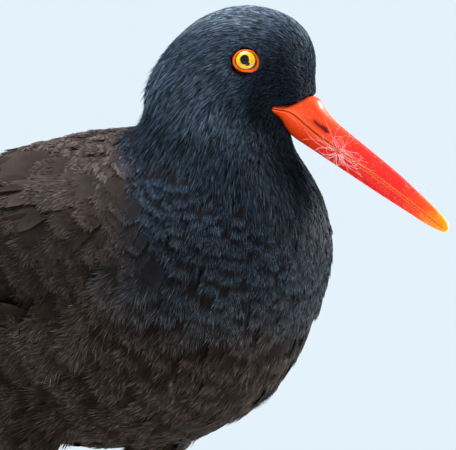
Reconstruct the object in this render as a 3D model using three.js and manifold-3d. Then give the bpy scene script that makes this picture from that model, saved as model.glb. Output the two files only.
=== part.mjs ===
// A life-size black oystercatcher: a stout, dark shore bird with a long orange-red bill and pale pink legs.
// It stands with the left foot ahead, its head turned a little to its left and its bill held low.
// Millimetres. The body faces +X, its left side is +Y and +Z is up, with the soles on z = 0.
import * as THREE from "three";
import { mergeVertices } from "three/addons/utils/BufferGeometryUtils.js";
import Module from "manifold-3d";

const wasm = await Module();
wasm.setup();

// Driving dimensions
const GAP = 0.3; // between nodes that touch
const BILL_BASE = [98.6, 215.2]; // x and z of the culmen where it meets the forehead feathers
const BILL_PITCH = THREE.MathUtils.degToRad(45.4); // below the horizontal
const HEAD_TURN = THREE.MathUtils.degToRad(23); // of the head on the body, to the left
const NECK_X = 60; // the upright line that the head turns about
const EYE = { forward: 13, side: 14.6, height: 227.4, radius: 6.2 }; // ball centre, from that line
// Ring of bare skin round the eye, with its height as a share of its length
const LIDS = { radius: 4.45, height: 0.88, thickness: 0.75, proud: 0.25, corner: 0.2 };
const BELLY_HEIGHT = 77.5;
const LEG_SIDE = 22; // each leg to its side of the middle
const STRIDE = { right: -14.7, left: 14.7 }; // each leg ahead of the middle
const FEATHERED_TO = 63; // height at which the leg's feathers end
const ANKLE = { height: 55, back: 9 };
const SHANK_END = 9; // height at which the shank meets the foot
const TOE_ROOT = { x: -5.5, out: 2 }; // where the toes meet, from the stride line
// Toes: length, and degrees that each turns towards the middle
const TOES = { inner: [25, 26], middle: [33, -3], outer: [28, -29] };
const CLAW = 6.5;
const SIDES = { right: -1, left: 1 };

// The body as sections from the rump to the bill. Each goes from a point on the back to one on the belly:
// [back x, back z, belly x, belly z, half width, share of the way down where it is widest, fullness below]
const SECTIONS = [
  [-122, 157.5, -117, 129, 15, 0.5, 2],
  [-104, 167, -101, 113, 24, 0.48, 2],
  [-80, 178, -80, 99, 33, 0.47, 2],
  [-52, 189, -52, 87.5, 40, 0.47, 2],
  [-25, 196.5, -23, 80.5, 43.5, 0.48, 2.1],
  [0, 201.4, 8, BELLY_HEIGHT, 45.5, 0.5, 2.1],
  [14, 202.8, 36, 79, 47, 0.52, 2.1],
  [21, 203.4, 60, 87, 48.5, 0.54, 2.1],
  [25, 204.1, 80, 103, 48, 0.55, 2.1],
  [27.5, 205.1, 94.5, 127, 46, 0.56, 2.1],
  [29, 206.4, 102.5, 150, 42.5, 0.56, 2.1],
  [29.8, 208, 102, 168, 37.5, 0.54, 2.1],
  [30, 210, 96.5, 182, 32.5, 0.52, 2.1],
  [29.8, 214, 91, 192, 28, 0.5, 2],
  [31.5, 220, 88.8, 197, 24.5, 0.48, 2],
  [36, 228.5, 88.5, 198.2, 22, 0.46, 1.9],
  [43, 237.5, 88.5, 198.7, 20.8, 0.45, 1.8],
  [54, 246, 88.6, 199.1, 20.2, 0.44, 1.7],
  [69, 250.2, 88.7, 199.4, 19.6, 0.44, 1.6],
  [83, 247.9, 88.9, 199.7, 17.6, 0.45, 1.5],
  [92.8, 241.8, 89.2, 200, 14.4, 0.46, 1.5],
  [97.5, 232.2, 89.6, 200.3, 11.4, 0.48, 1.6],
  [97.6, 223, 90.1, 200.6, 8.8, 0.5, 1.8],
  [98.2, 215.6, 90.7, 200.9, 6.6, 0.5, 2],
];
const NECK_FROM = 11.2; // the section that parts torso and neck
const HEAD_FROM = 14.2; // the section that parts neck and head
const HEAD_END = SECTIONS.length - 1;
const TURN_FROM = 9; // the section where the head's turn begins

// A closed solid from three.js geometry, its faces turned outwards
function solidOf(geometry) {
  const bare = new THREE.BufferGeometry();
  bare.setAttribute("position", geometry.getAttribute("position"));
  bare.setIndex(geometry.getIndex());
  const merged = mergeVertices(bare, 1e-4);
  const faces = new Uint32Array(merged.getIndex().array);
  const vertProperties = new Float32Array(merged.getAttribute("position").array);
  const made = new wasm.Manifold(new wasm.Mesh({ numProp: 3, vertProperties, triVerts: faces }));
  if (made.volume() > 0) return made;
  for (let f = 0; f < faces.length; f += 3) [faces[f], faces[f + 1]] = [faces[f + 1], faces[f]];
  return new wasm.Manifold(new wasm.Mesh({ numProp: 3, vertProperties, triVerts: faces }));
}

// A solid from rings of points, each joined to the next and the ends closed
function loft(rings) {
  const points = rings.flat();
  const sides = rings[0].length;
  const faces = [];
  for (let r = 0; r + 1 < rings.length; r++) {
    for (let i = 0; i < sides; i++) {
      const next = (i + 1) % sides;
      const a = r * sides + i;
      const b = r * sides + next;
      faces.push(a, b, b + sides, a, b + sides, a + sides);
    }
  }
  const last = points.length - sides;
  points.push(middleOf(rings[0]), middleOf(rings.at(-1)));
  for (let i = 0; i < sides; i++) {
    const next = (i + 1) % sides;
    faces.push(points.length - 2, next, i);
    faces.push(points.length - 1, last + i, last + next);
  }
  const geometry = new THREE.BufferGeometry().setFromPoints(points);
  return solidOf(geometry.setIndex(faces));
}

function middleOf(ring) {
  return ring.reduce((sum, p) => sum.add(p), new THREE.Vector3()).divideScalar(ring.length);
}

// A manifold-3d solid back to geometry, its largest closed surface only
function geometryOf(solid) {
  const pieces = solid.decompose().sort((a, b) => b.volume() - a.volume());
  const mesh = pieces[0].getMesh();
  const geometry = new THREE.BufferGeometry();
  geometry.setAttribute("position", new THREE.BufferAttribute(mesh.vertProperties, 3));
  geometry.setIndex(new THREE.BufferAttribute(mesh.triVerts, 1));
  geometry.computeVertexNormals();
  return geometry;
}

// A smooth value along evenly numbered rows, row 2.5 being half way from row 2 to row 3
function rowAt(rows, t) {
  const at = (i) => rows[THREE.MathUtils.clamp(i, 0, rows.length - 1)];
  const i = Math.min(Math.floor(t), rows.length - 2);
  const f = t - i;
  return rows[i].map((_, c) => {
    const [a, b, d, e] = [at(i - 1)[c], at(i)[c], at(i + 1)[c], at(i + 2)[c]];
    const pull = 2 * b + (d - a) * f + (2 * a - 5 * b + 4 * d - e) * f * f;
    return 0.5 * (pull + (3 * b - a - 3 * d + e) * f * f * f);
  });
}

// Body sections
function bodyRing(t, sides, grow = 0, shift = 0) {
  const [backX, backZ, bellyX, bellyZ, half, widest, fullness] = rowAt(SECTIONS, t);
  const back = new THREE.Vector2(backX, backZ);
  const down = new THREE.Vector2(bellyX - backX, bellyZ - backZ);
  const depth = down.length();
  down.normalize();
  const middle = back.clone().addScaledVector(down, depth * widest);
  middle.addScaledVector(new THREE.Vector2(-down.y, down.x), shift);
  const turn = HEAD_TURN * THREE.MathUtils.smoothstep(t, TURN_FROM, HEAD_FROM);
  const ring = [];
  for (let i = 0; i < sides; i++) {
    const angle = (2 * Math.PI * i) / sides;
    const below = Math.cos(angle) < 0;
    const power = 2 / (below ? fullness : 2);
    const reach = (below ? 1 - widest : widest) * depth + grow;
    const along = -Math.sign(Math.cos(angle)) * reach * Math.abs(Math.cos(angle)) ** power;
    const side = Math.sign(Math.sin(angle)) * (half + grow) * Math.abs(Math.sin(angle)) ** power;
    const x = middle.x + down.x * along - NECK_X;
    const z = middle.y + down.y * along;
    ring.push(
      new THREE.Vector3(
        NECK_X + x * Math.cos(turn) - side * Math.sin(turn),
        x * Math.sin(turn) + side * Math.cos(turn),
        z,
      ),
    );
  }
  return ring;
}

function bodyPiece(from, to, rings, sides, grow = 0) {
  const made = [];
  for (let r = 0; r <= rings; r++) {
    const shift = r === 0 && from > 0 ? GAP / 2 : r === rings && to < HEAD_END ? -GAP / 2 : 0;
    made.push(bodyRing(from + ((to - from) * r) / rings, sides, grow, shift));
  }
  return loft(made);
}

// Frames: the head's, turned about the neck line, and the bill's, s along it and h square to it
const UP = new THREE.Vector3(0, 0, 1);

function headPoint(x, y, z) {
  const p = new THREE.Vector3(x - NECK_X, y, z).applyAxisAngle(UP, HEAD_TURN);
  return p.add(new THREE.Vector3(NECK_X, 0, 0));
}

function billPoint(s, h, y) {
  const [along, square] = [Math.cos(BILL_PITCH), Math.sin(BILL_PITCH)];
  return headPoint(BILL_BASE[0] + s * along + h * square, y, BILL_BASE[1] - s * square + h * along);
}

// Bill. The rows are s, then h of the culmen, mouth line and lower edge, then the half width
const BILL = [
  [-7, -12.3, -15.2, -18.1, 12.7],
  [-4, -9.5, -13, -17, 11.9],
  [-1.4, -2.6, -11.6, -17.6, 9.9],
  [2, -0.7, -11.2, -18.3, 7.7],
  [6, -1.8, -11, -18.2, 6.6],
  [12, -2.3, -10.4, -16.9, 5.8],
  [20, -1.6, -9, -15.2, 5],
  [32, -0.2, -7, -12.6, 4.2],
  [45, 1.1, -4.8, -9.8, 3.5],
  [57, 1.7, -3, -7, 2.9],
  [66, 1.9, -1.9, -4.9, 2.3],
  [71, 1.6, -1.2, -3.2, 1.7],
  [73.3, 0.2, -0.8, -2.1, 1.1],
];
const NOSTRIL = { s: 10.4, h: -7.5, length: 9.2, height: 1.3, tilt: THREE.MathUtils.degToRad(8) };
// Half a section of each mandible: share of the half width, share of the way from mouth line to edge
const UPPER_HALF = [[0, 0], [0.92, 0], [1, 0.14], [0.84, 0.55], [0.56, 0.86], [0.26, 0.98]];
const LOWER_HALF = [[0, 0], [0.86, 0], [0.95, 0.2], [0.78, 0.6], [0.45, 0.9]];

function mandible(edge, half, grow = 0) {
  const upper = edge === 1;
  const rings = BILL.map((row, r) => {
    const [s, mouth, width] = [row[0] - (r === 0 ? grow : 0), row[2], row[4] + 2 * grow];
    const way = upper ? 1 : -1;
    const from = mouth + way * (GAP / 2 - grow);
    const depth = row[edge] + way * grow - from;
    const right = half.map(([w, d]) => billPoint(s, from + d * depth, -w * width));
    const left = half.slice(1).reverse().map(([w, d]) => billPoint(s, from + d * depth, w * width));
    return [...right, billPoint(s, from + depth, 0), ...left];
  });
  return loft(rings);
}

function nostrils() {
  const slit = new THREE.CylinderGeometry(1, 1, 30, 10);
  slit.scale(NOSTRIL.length / 2, 1, NOSTRIL.height / 2).rotateY(NOSTRIL.tilt);
  const at = slit.getAttribute("position");
  for (let i = 0; i < at.count; i++) {
    const p = billPoint(NOSTRIL.s + at.getX(i), NOSTRIL.h - at.getZ(i), at.getY(i));
    at.setXYZ(i, p.x, p.y, p.z);
  }
  return solidOf(slit);
}

// Eyes and the bare ring of the lids on each, which is a little flattened and has a corner low at the front
function eyeFrame(side) {
  const out = headPoint(NECK_X + 0.14, side * 0.97, 0.17).sub(new THREE.Vector3(NECK_X, 0, 0)).normalize();
  const centre = headPoint(NECK_X + EYE.forward, side * EYE.side, EYE.height);
  return { out, centre };
}

function eyeball(side, grow = 0) {
  const ball = new THREE.IcosahedronGeometry(EYE.radius + grow, 3);
  const { centre } = eyeFrame(side);
  return solidOf(ball.translate(centre.x, centre.y, centre.z));
}

function lidRing(side, grow = 0) {
  const ring = new THREE.TorusGeometry(LIDS.radius, LIDS.thickness + grow, 6, 22);
  const { out, centre } = eyeFrame(side);
  const forward = headPoint(NECK_X + 1, 0, 0).sub(new THREE.Vector3(NECK_X, 0, 0));
  const up = out.clone().cross(forward).multiplyScalar(-side).normalize();
  const ahead = up.clone().cross(out).multiplyScalar(side).normalize();
  const at = ring.getAttribute("position");
  for (let i = 0; i < at.count; i++) {
    const angle = Math.atan2(at.getY(i), at.getX(i));
    const stretch = 1 + LIDS.corner * Math.max(0, Math.cos(angle + 0.55)) ** 6;
    const middle = LIDS.radius * stretch * Math.hypot(Math.cos(angle), LIDS.height * Math.sin(angle));
    const rise = Math.sqrt((EYE.radius + LIDS.proud) ** 2 - middle ** 2);
    const p = centre.clone().addScaledVector(out, rise + at.getZ(i));
    p.addScaledVector(ahead, at.getX(i) * stretch).addScaledVector(up, at.getY(i) * stretch * LIDS.height);
    at.setXYZ(i, p.x, p.y, p.z);
  }
  return solidOf(ring);
}

// Vanes of the flight and tail feathers and of the coverts over them. A vane is a thin blade through
// stations, each an array of three points across it with the direction that its thickness takes there
const VANE = { middle: 0.75, edge: 0.5 };

function vane(stations) {
  const count = stations.length;
  const points = [];
  for (const face of [0.5, -0.5]) {
    for (const { across, out } of stations) {
      across.forEach((p, c) => {
        const thick = c === 1 ? VANE.middle : VANE.edge;
        points.push(p.clone().addScaledVector(out, face * thick));
      });
    }
  }
  const faces = [];
  const quad = (p, q, r, s) => faces.push(p, q, r, p, r, s);
  const under = count * 3;
  for (let i = 0; i + 1 < count; i++) {
    for (const a of [3 * i, 3 * i + 1]) {
      quad(a, a + 1, a + 4, a + 3);
      faces.push(under + a, under + a + 4, under + a + 1, under + a, under + a + 3, under + a + 4);
    }
    const [left, right] = [3 * i, 3 * i + 2];
    quad(left, left + 3, under + left + 3, under + left);
    quad(right + 3, right, under + right, under + right + 3);
  }
  const end = 3 * (count - 1);
  for (const c of [0, 1]) {
    quad(c + 1, c, under + c, under + c + 1);
    quad(end + c, end + c + 1, under + end + c + 1, under + end + c);
  }
  const geometry = new THREE.BufferGeometry().setFromPoints(points);
  return solidOf(geometry.setIndex(faces));
}

// Width along a vane as [share of its length, share of its width]
const VANE_SHAPE = [[0, 0.55], [0.35, 0.85], [0.65, 1], [0.88, 0.86], [1, 0.3]];

// A row of vanes side by side, numbered from the low or outer one. Each lies over the next one out, so it is
// rolled by as much as keeps them apart. It rises from its root, so that the row in front lies over it
function vaneRow(row, place) {
  const { count, roots, tips, width, from, to, clear, height, slope, lift } = row;
  const made = [];
  for (let i = 0; i < count; i++) {
    const share = i / (count - 1);
    const lifted = lift > 0 && i === count - 1;
    const [root, tip] = [roots, tips].map(([first, last, power = 1]) => {
      return THREE.MathUtils.lerp(first, last, share ** power);
    });
    const stations = VANE_SHAPE.map(([along, wide]) => {
      const b = THREE.MathUtils.lerp(root, tip, along);
      const way = (b - from[0]) / (to[0] - from[0]);
      const [low, high] = [1, 2].map((c) => THREE.MathUtils.lerp(from[c], to[c], way));
      const half = (wide * width) / 2;
      const roll = lifted ? 0 : (clear * (count - 1)) / (high - low);
      const middle = THREE.MathUtils.lerp(low, high, share);
      const rise = height + slope * (b - tips[1]) + (lifted ? lift : 0);
      const across = [-half, 0, half].map((x) => place(b, middle + x, rise - roll * x));
      const out = place(b, middle, rise + 1).sub(place(b, middle, rise)).normalize();
      return { across, out };
    });
    made.push(vane(stations));
  }
  return made;
}

// Wings, folded. A wing is a bowed sheet: b behind the wrist, q up across it, h out from it
const WRIST_X = 52;
const WING_STEP = 39.5;
// Rows every WING_STEP behind the wrist:
// y, z, roll in degrees, bow up, bow down, top and bottom of the outline
const WING = [
  [42, 160, 4, 0.013, 0.006, 12, 20],
  [51, 157, 7, 0.0135, 0.006, 32, 35],
  [51.5, 154.5, 11, 0.0125, 0.0065, 32, 33],
  [46, 152.5, 17, 0.012, 0.008, 26, 24],
  [36, 151, 27, 0.011, 0.009, 17, 14],
  [23.5, 150, 38, 0.009, 0.009, 12, 9.5],
  [13, 149, 48, 0.006, 0.006, 3.5, 3.5],
];
// Rows of vanes: roots and tips behind the wrist from the lowest vane to the highest, and the lowest and
// highest middle lines at two places
const PRIMARIES = {
  count: 5, width: 9.5, height: 1, roots: [132, 138], tips: [237, 200, 1.2],
  from: [130, -9, 7], to: [237, -6.5, 6.5],
};
const SECONDARIES = {
  count: 7, width: 12.5, height: 2.6, roots: [76, 84], tips: [130, 173, 0.6],
  from: [60, -29, 23], to: [165, -10, 11],
};
const GREATER_COVERTS = {
  count: 8, width: 11.5, height: 2.6, roots: [28, 36], tips: [90, 118, 0.6],
  from: [40, -29, 21], to: [112, -20, 15],
};
const COVERTS_AND_SCAPULARS = {
  count: 9, width: 12, height: 5.5, roots: [2, 4], tips: [58, 112, 1.5],
  from: [10, -16, 11], to: [70, -26, 26], clear: 1.55,
};
const WING_ROWS = [PRIMARIES, SECONDARIES, GREATER_COVERTS, COVERTS_AND_SCAPULARS];
const WING_LIE = { clear: 1.2, slope: 0.078 };
const WING_CORE = { length: 170, level: -3.6, out: 2.1, deep: 8, share: 0.84 };

function wingPoint(side, b, q, h) {
  const [y, z, roll, bowUp, bowDown] = rowAt(WING, b / WING_STEP);
  const turn = THREE.MathUtils.degToRad(roll);
  const out = h - q * q * (q > 0 ? bowUp : bowDown);
  const lean = [Math.cos(turn), Math.sin(turn)];
  return new THREE.Vector3(
    WRIST_X - b,
    side * (y - q * lean[1] + out * lean[0]),
    z + q * lean[0] + out * lean[1],
  );
}

function wingCore(side) {
  const { length, level, out, deep, share } = WING_CORE;
  const [rings, half] = [12, 7];
  const made = [];
  for (let r = 0; r <= rings; r++) {
    const b = (length * r) / rings;
    const row = rowAt(WING, b / WING_STEP);
    const thin = Math.min(1, 0.3 + 3 * (1 - r / rings));
    const ring = [];
    for (let i = 0; i < 2 * half; i++) {
      const angle = (Math.PI * (i + 0.5)) / half;
      const q = Math.cos(angle) * share * row[Math.cos(angle) > 0 ? 5 : 6];
      const lift = Math.abs(Math.sin(angle)) ** 0.6 * thin;
      ring.push(wingPoint(side, b, q, level + (Math.sin(angle) > 0 ? lift * out : -lift * deep)));
    }
    made.push(ring);
  }
  return loft(made);
}

function wing(side) {
  const place = (b, q, h) => wingPoint(side, b, q, h);
  const vanes = WING_ROWS.flatMap((row) => vaneRow({ ...WING_LIE, ...row }, place));
  return wasm.Manifold.union([wingCore(side), ...vanes]).subtract(torsoRoom);
}

// Tail. Its core runs from the rump: x, top z, bottom z, half width
const TAIL_CORE = [
  [-122.3, 157, 129.4, 14.8],
  [-131, 151, 131, 14.5],
  [-141, 146.5, 135, 13],
  [-151, 142.8, 138.6, 10],
];
// Rows of vanes on one side: roots and tips behind the rump, from the outermost vane to the middle one
const RUMP_X = -122.3;
const TAIL_FEATHERS = {
  count: 6, width: 10, height: -11.5, roots: [8, 12], tips: [62, 68],
  from: [10, 12.5, 3.2], to: [68, 25.5, 4.2],
};
const UPPER_COVERTS = {
  count: 3, width: 10, height: -2.6, roots: [4, 6], tips: [34, 42],
  from: [4, 8, 0], to: [42, 15, 0],
};
const UNDER_COVERTS = {
  count: 3, width: 10, height: -12.7, roots: [4, 6], tips: [38, 46],
  from: [4, 8, 0], to: [42, 15, 0],
};
const TAIL_LIE = { clear: 1.2, slope: -0.19 };
const MIDDLE_LIFT = 1.8; // the left vane of the middle pair lies flat and over its neighbours

// A point b behind the rump, q outwards and h over the level of the rump's middle
const tailPoint = (side, b, q, h) => new THREE.Vector3(RUMP_X - b, side * q, 144 + h);

function tailCore() {
  const sides = 14;
  const rings = TAIL_CORE.map(([x, top, bottom, half], r) => {
    const ring = [];
    for (let i = 0; i < sides; i++) {
      const angle = (2 * Math.PI * i) / sides;
      const z = (top + bottom) / 2 + (Math.cos(angle) * (top - bottom)) / 2;
      const lean = r === 0 ? (157 - z) * 0.18 : 0;
      ring.push(new THREE.Vector3(x + lean, half * Math.sin(angle), z));
    }
    return ring;
  });
  return loft(rings);
}

function tail() {
  const row = (tier, side, lift) =>
    vaneRow({ ...TAIL_LIE, ...tier, lift }, (b, q, h) => tailPoint(side, b, q, h));
  const coverts = [UPPER_COVERTS, UNDER_COVERTS].flatMap((tier) => [
    ...row(tier, SIDES.left, MIDDLE_LIFT),
    ...row(tier, SIDES.right, 0).slice(0, -1),
  ]);
  const left = row(TAIL_FEATHERS, SIDES.left, MIDDLE_LIFT);
  const right = row(TAIL_FEATHERS, SIDES.right, 0);
  return wasm.Manifold.union([tailCore(), ...left, ...right, ...coverts]);
}

// Legs: tubes along upright lines, as [x ahead of the stride line, outwards, z, half length, half width]
function tube(rows, sides, place) {
  return loft(
    rows.map(([x, out, z, long, wide]) => {
      const ring = [];
      for (let i = 0; i < sides; i++) {
        const angle = (2 * Math.PI * i) / sides;
        ring.push(place(x + long * Math.cos(angle), out + wide * Math.sin(angle), z));
      }
      return ring;
    }),
  );
}

const legPlace = (name) => (x, out, z) =>
  new THREE.Vector3(STRIDE[name] + x, SIDES[name] * (LEG_SIDE + out), z);

const THIGH = [
  [6, -2, 104, 24, 15],
  [5, -1, 92, 20, 13.5],
  [3, 0, 82, 15.5, 11.5],
  [-1, 0.5, 74, 10.5, 8.6],
  [-4, 1, 67, 7, 6.2],
  [-5.5, 1, FEATHERED_TO, 5, 4.8],
];
const SHANK = [
  [-5.7, 1, FEATHERED_TO - GAP, 3.4, 3],
  [-ANKLE.back + 1.4, 1, ANKLE.height + 4.5, 3.6, 3.3],
  [-ANKLE.back, 1, ANKLE.height + 0.8, 4.9, 4.1],
  [-ANKLE.back + 0.2, 1, ANKLE.height - 3.5, 4.8, 4],
  [-ANKLE.back + 1, 1.2, ANKLE.height - 9, 3.5, 2.9],
  [-ANKLE.back + 2, 1.6, ANKLE.height / 2 + 2, 3.1, 2.5],
  [TOE_ROOT.x - 0.9, 2, 15, 3.3, 2.8],
  [TOE_ROOT.x - 1, 2, SHANK_END + GAP, 4, 3.6],
];

// A foot: the pad under the shank, three toes and the web between the middle and outer ones, cut flat below
const TOE_SHAPE = [
  [0, 3.9], [0.16, 3.6], [0.34, 2.9], [0.44, 3.2], [0.6, 2.6], [0.7, 2.8], [0.86, 2.2], [1, 2.1],
];

function toeLine(toe) {
  const [length, degrees] = TOES[toe];
  const turn = THREE.MathUtils.degToRad(degrees);
  return (along, across) => [
    TOE_ROOT.x + along * length * Math.cos(turn) + across * Math.sin(turn),
    TOE_ROOT.out - along * length * Math.sin(turn) + across * Math.cos(turn),
  ];
}

function toeTube(name, toe, from, to, sizes, sides) {
  const line = toeLine(toe);
  const place = legPlace(name);
  return loft(
    sizes.map(([share, radius, drop = 0]) => {
      const along = from + (to - from) * share;
      const ring = [];
      for (let i = 0; i < sides; i++) {
        const angle = (2 * Math.PI * i) / sides;
        const [x, out] = line(along, radius * Math.cos(angle));
        ring.push(place(x, out, Math.max(radius * 0.82 - drop, 0) + radius * Math.sin(angle)));
      }
      return ring;
    }),
  );
}

const belowFloor = solidOf(new THREE.BoxGeometry(400, 400, 40).translate(0, 0, -20));

function web(name) {
  const place = legPlace(name);
  const reach = 0.42;
  const corners = [toeLine("middle")(0, 0), toeLine("middle")(reach, 0), toeLine("outer")(reach, 0)];
  const [root, middle, outer] = corners;
  const notch = [(middle[0] + outer[0]) / 2 - 3, (middle[1] + outer[1]) / 2];
  const ring = (z) => [root, middle, notch, outer].map(([x, out]) => place(x, out, z));
  return loft([ring(-1), ring(1.7)]);
}

function foot(name) {
  const place = legPlace(name);
  const pad = tube(
    [
      [TOE_ROOT.x + 0.4, 2, -1, 4.2, 4],
      [TOE_ROOT.x, 2, 3, 4.8, 4.4],
      [TOE_ROOT.x - 1, 2, SHANK_END, 4, 3.6],
    ],
    10,
    place,
  );
  const toes = Object.keys(TOES).map((toe) => toeTube(name, toe, 0, 1, TOE_SHAPE, 8));
  return wasm.Manifold.union([pad, ...toes, web(name)]).subtract(belowFloor);
}

const CLAW_SHAPE = [[0, 1.7, -0.3], [0.35, 1.45, -0.3], [0.7, 0.95, 0.1], [1, 0.35, 0]];

function claw(name, toe) {
  const length = TOES[toe][0];
  const from = 1 + GAP / length;
  return toeTube(name, toe, from, from + CLAW / length, CLAW_SHAPE, 7).subtract(belowFloor);
}

// Nodes and their finishes
const FINISH = {
  slate: { color: 0x24282c, roughness: 0.85 },
  brown: { color: 0x332923, roughness: 0.8 },
  bill: { color: 0xe8401c, roughness: 0.4 },
  iris: { color: 0xf2b705, roughness: 0.1 },
  lids: { color: 0xf04a10, roughness: 0.5 },
  leg: { color: 0xd3a79c, roughness: 0.6 },
  claw: { color: 0x2b2422, roughness: 0.45 },
};

const group = new THREE.Group();

function addNode(name, finish, solid) {
  const material = new THREE.MeshStandardMaterial({ ...FINISH[finish], metalness: 0 });
  const mesh = new THREE.Mesh(geometryOf(solid), material);
  mesh.name = name;
  group.add(mesh);
}

const torso = bodyPiece(0, NECK_FROM, 26, 28);
const torsoRoom = bodyPiece(0, NECK_FROM, 26, 28, GAP);
addNode("torso", "brown", torso);
addNode("neck", "slate", bodyPiece(NECK_FROM, HEAD_FROM, 6, 28));
addNode("tail", "brown", tail());

let head = bodyPiece(HEAD_FROM, HEAD_END, 20, 28);
head = head.subtract(mandible(1, UPPER_HALF, 2 * GAP)).subtract(mandible(3, LOWER_HALF, 2 * GAP));
addNode("upper_mandible", "bill", mandible(1, UPPER_HALF).subtract(nostrils()));
addNode("lower_mandible", "bill", mandible(3, LOWER_HALF));
for (const [name, side] of Object.entries(SIDES)) {
  head = head.subtract(eyeball(side, GAP)).subtract(lidRing(side, GAP));
  addNode(`eye_${name}`, "iris", eyeball(side));
  addNode(`eyelid_${name}`, "lids", lidRing(side).subtract(eyeball(side, GAP)));
  addNode(`wing_${name}`, "brown", wing(side));
  addNode(`thigh_${name}`, "brown", tube(THIGH, 14, legPlace(name)).subtract(torsoRoom));
  addNode(`shank_${name}`, "leg", tube(SHANK, 10, legPlace(name)));
  addNode(`foot_${name}`, "leg", foot(name));
  for (const toe of Object.keys(TOES)) addNode(`claw_${name}_${toe}`, "claw", claw(name, toe));
}
addNode("head", "slate", head);

// The origin goes to the middle of the whole, on the floor
const bounds = new THREE.Box3().setFromObject(group);
const middle = bounds.getCenter(new THREE.Vector3());
group.position.set(-middle.x, -middle.y, 0);

export default group;
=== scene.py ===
# A life-size black oystercatcher: skin, feathers, bill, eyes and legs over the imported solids.
# Shapes are worked out in millimetres, with the floor at z = 0 under the hips, +X forwards and +Y to the left.
import bpy
import math
import numpy as np
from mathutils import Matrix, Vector
from mathutils.bvhtree import BVHTree


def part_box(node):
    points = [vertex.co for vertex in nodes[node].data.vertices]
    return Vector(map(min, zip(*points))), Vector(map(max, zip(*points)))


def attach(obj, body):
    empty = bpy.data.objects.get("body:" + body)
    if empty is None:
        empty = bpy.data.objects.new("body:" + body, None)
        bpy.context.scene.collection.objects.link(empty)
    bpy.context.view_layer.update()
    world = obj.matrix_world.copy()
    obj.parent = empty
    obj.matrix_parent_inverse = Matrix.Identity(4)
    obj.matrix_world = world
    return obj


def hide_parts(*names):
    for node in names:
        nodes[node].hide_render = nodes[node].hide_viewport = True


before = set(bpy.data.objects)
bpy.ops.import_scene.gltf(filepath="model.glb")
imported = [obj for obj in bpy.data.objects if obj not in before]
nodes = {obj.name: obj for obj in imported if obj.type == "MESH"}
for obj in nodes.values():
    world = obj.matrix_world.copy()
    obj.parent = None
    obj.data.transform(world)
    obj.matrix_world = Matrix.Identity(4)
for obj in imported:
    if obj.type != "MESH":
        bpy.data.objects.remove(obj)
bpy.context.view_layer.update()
rng = np.random.default_rng(11)

# Driving sizes, the same as the solids'
HEAD_TURN = math.radians(23)
NECK_X = 60.0
EYE = dict(forward=13.0, side=14.6, height=227.4, radius=6.2)
BILL_BASE = (98.6, 215.2)
BILL_PITCH = math.radians(45.4)
FLESH = ["torso", "neck", "head", "thigh_left", "thigh_right"]
SIDES = {"right": -1.0, "left": 1.0}
# Planes that part the torso from the neck, and the neck from the head: x and z of a place on each, and of its way up
NECK_PLANE = (30, 208, 0.504, 0.864)
HEAD_PLANE = (29.8, 214, 0.338, 0.941)
DARKEST, BRIGHTEST = 0.0005, 0.6


def unit(v):
    return v / np.maximum(np.linalg.norm(v, axis=-1, keepdims=True), 1e-9)


def ramp(x, low, high):
    t = np.clip((np.asarray(x, float) - low) / (high - low), 0, 1)
    return t * t * (3 - 2 * t)


def mix(a, b, t):
    return a + (b - a) * t


def colour(red, green, blue):
    c = np.array([red, green, blue]) / 255
    return np.where(c < 0.04045, c / 12.92, ((c + 0.055) / 1.055) ** 2.4)


def circle(count):
    """Angles spaced evenly round a circle."""
    return np.linspace(0, 2 * math.pi, count, endpoint=False)


def turned(p, angle=HEAD_TURN, centre=NECK_X):
    """Places turned about the upright neck line, or directions where the centre is 0."""
    p = np.asarray(p, float)
    x, y = p[..., 0] - centre, p[..., 1]
    c, s = math.cos(angle), math.sin(angle)
    return np.stack([centre + x * c - y * s, x * s + y * c, p[..., 2]], -1)


def head_frame(p):
    """Places as they would be if the head looked straight ahead."""
    return turned(p, -HEAD_TURN)


def left_half(p):
    """Places in the frame of the head, with its right half folded over onto the left."""
    local = head_frame(p)
    local[..., 1] = np.abs(local[..., 1])
    return local


def bill_point(s, h, y):
    """s along the bill from the forehead, h square to it and y to the left, as arrays."""
    c, n = math.cos(BILL_PITCH), math.sin(BILL_PITCH)
    s, h, y = np.broadcast_arrays(np.asarray(s, float), h, y)
    return turned(np.stack([BILL_BASE[0] + s * c + h * n, y, BILL_BASE[1] - s * n + h * c], -1))


def node_middle(name):
    low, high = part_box(name)
    return (np.array(low) + np.array(high)) * 500


eyes_middle = (node_middle("eye_left") + node_middle("eye_right")) / 2
eyes_here = turned([NECK_X + EYE["forward"], 0, EYE["height"]])
SHIFT = np.array([eyes_middle[0] - eyes_here[0], eyes_middle[1] - eyes_here[1], 0.0])


def metres(p):
    return (np.asarray(p, float) + SHIFT) / 1000


# Meshes
def placed(name, data):
    made = bpy.data.objects.new(name, data)
    bpy.context.scene.collection.objects.link(made)
    return made


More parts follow.
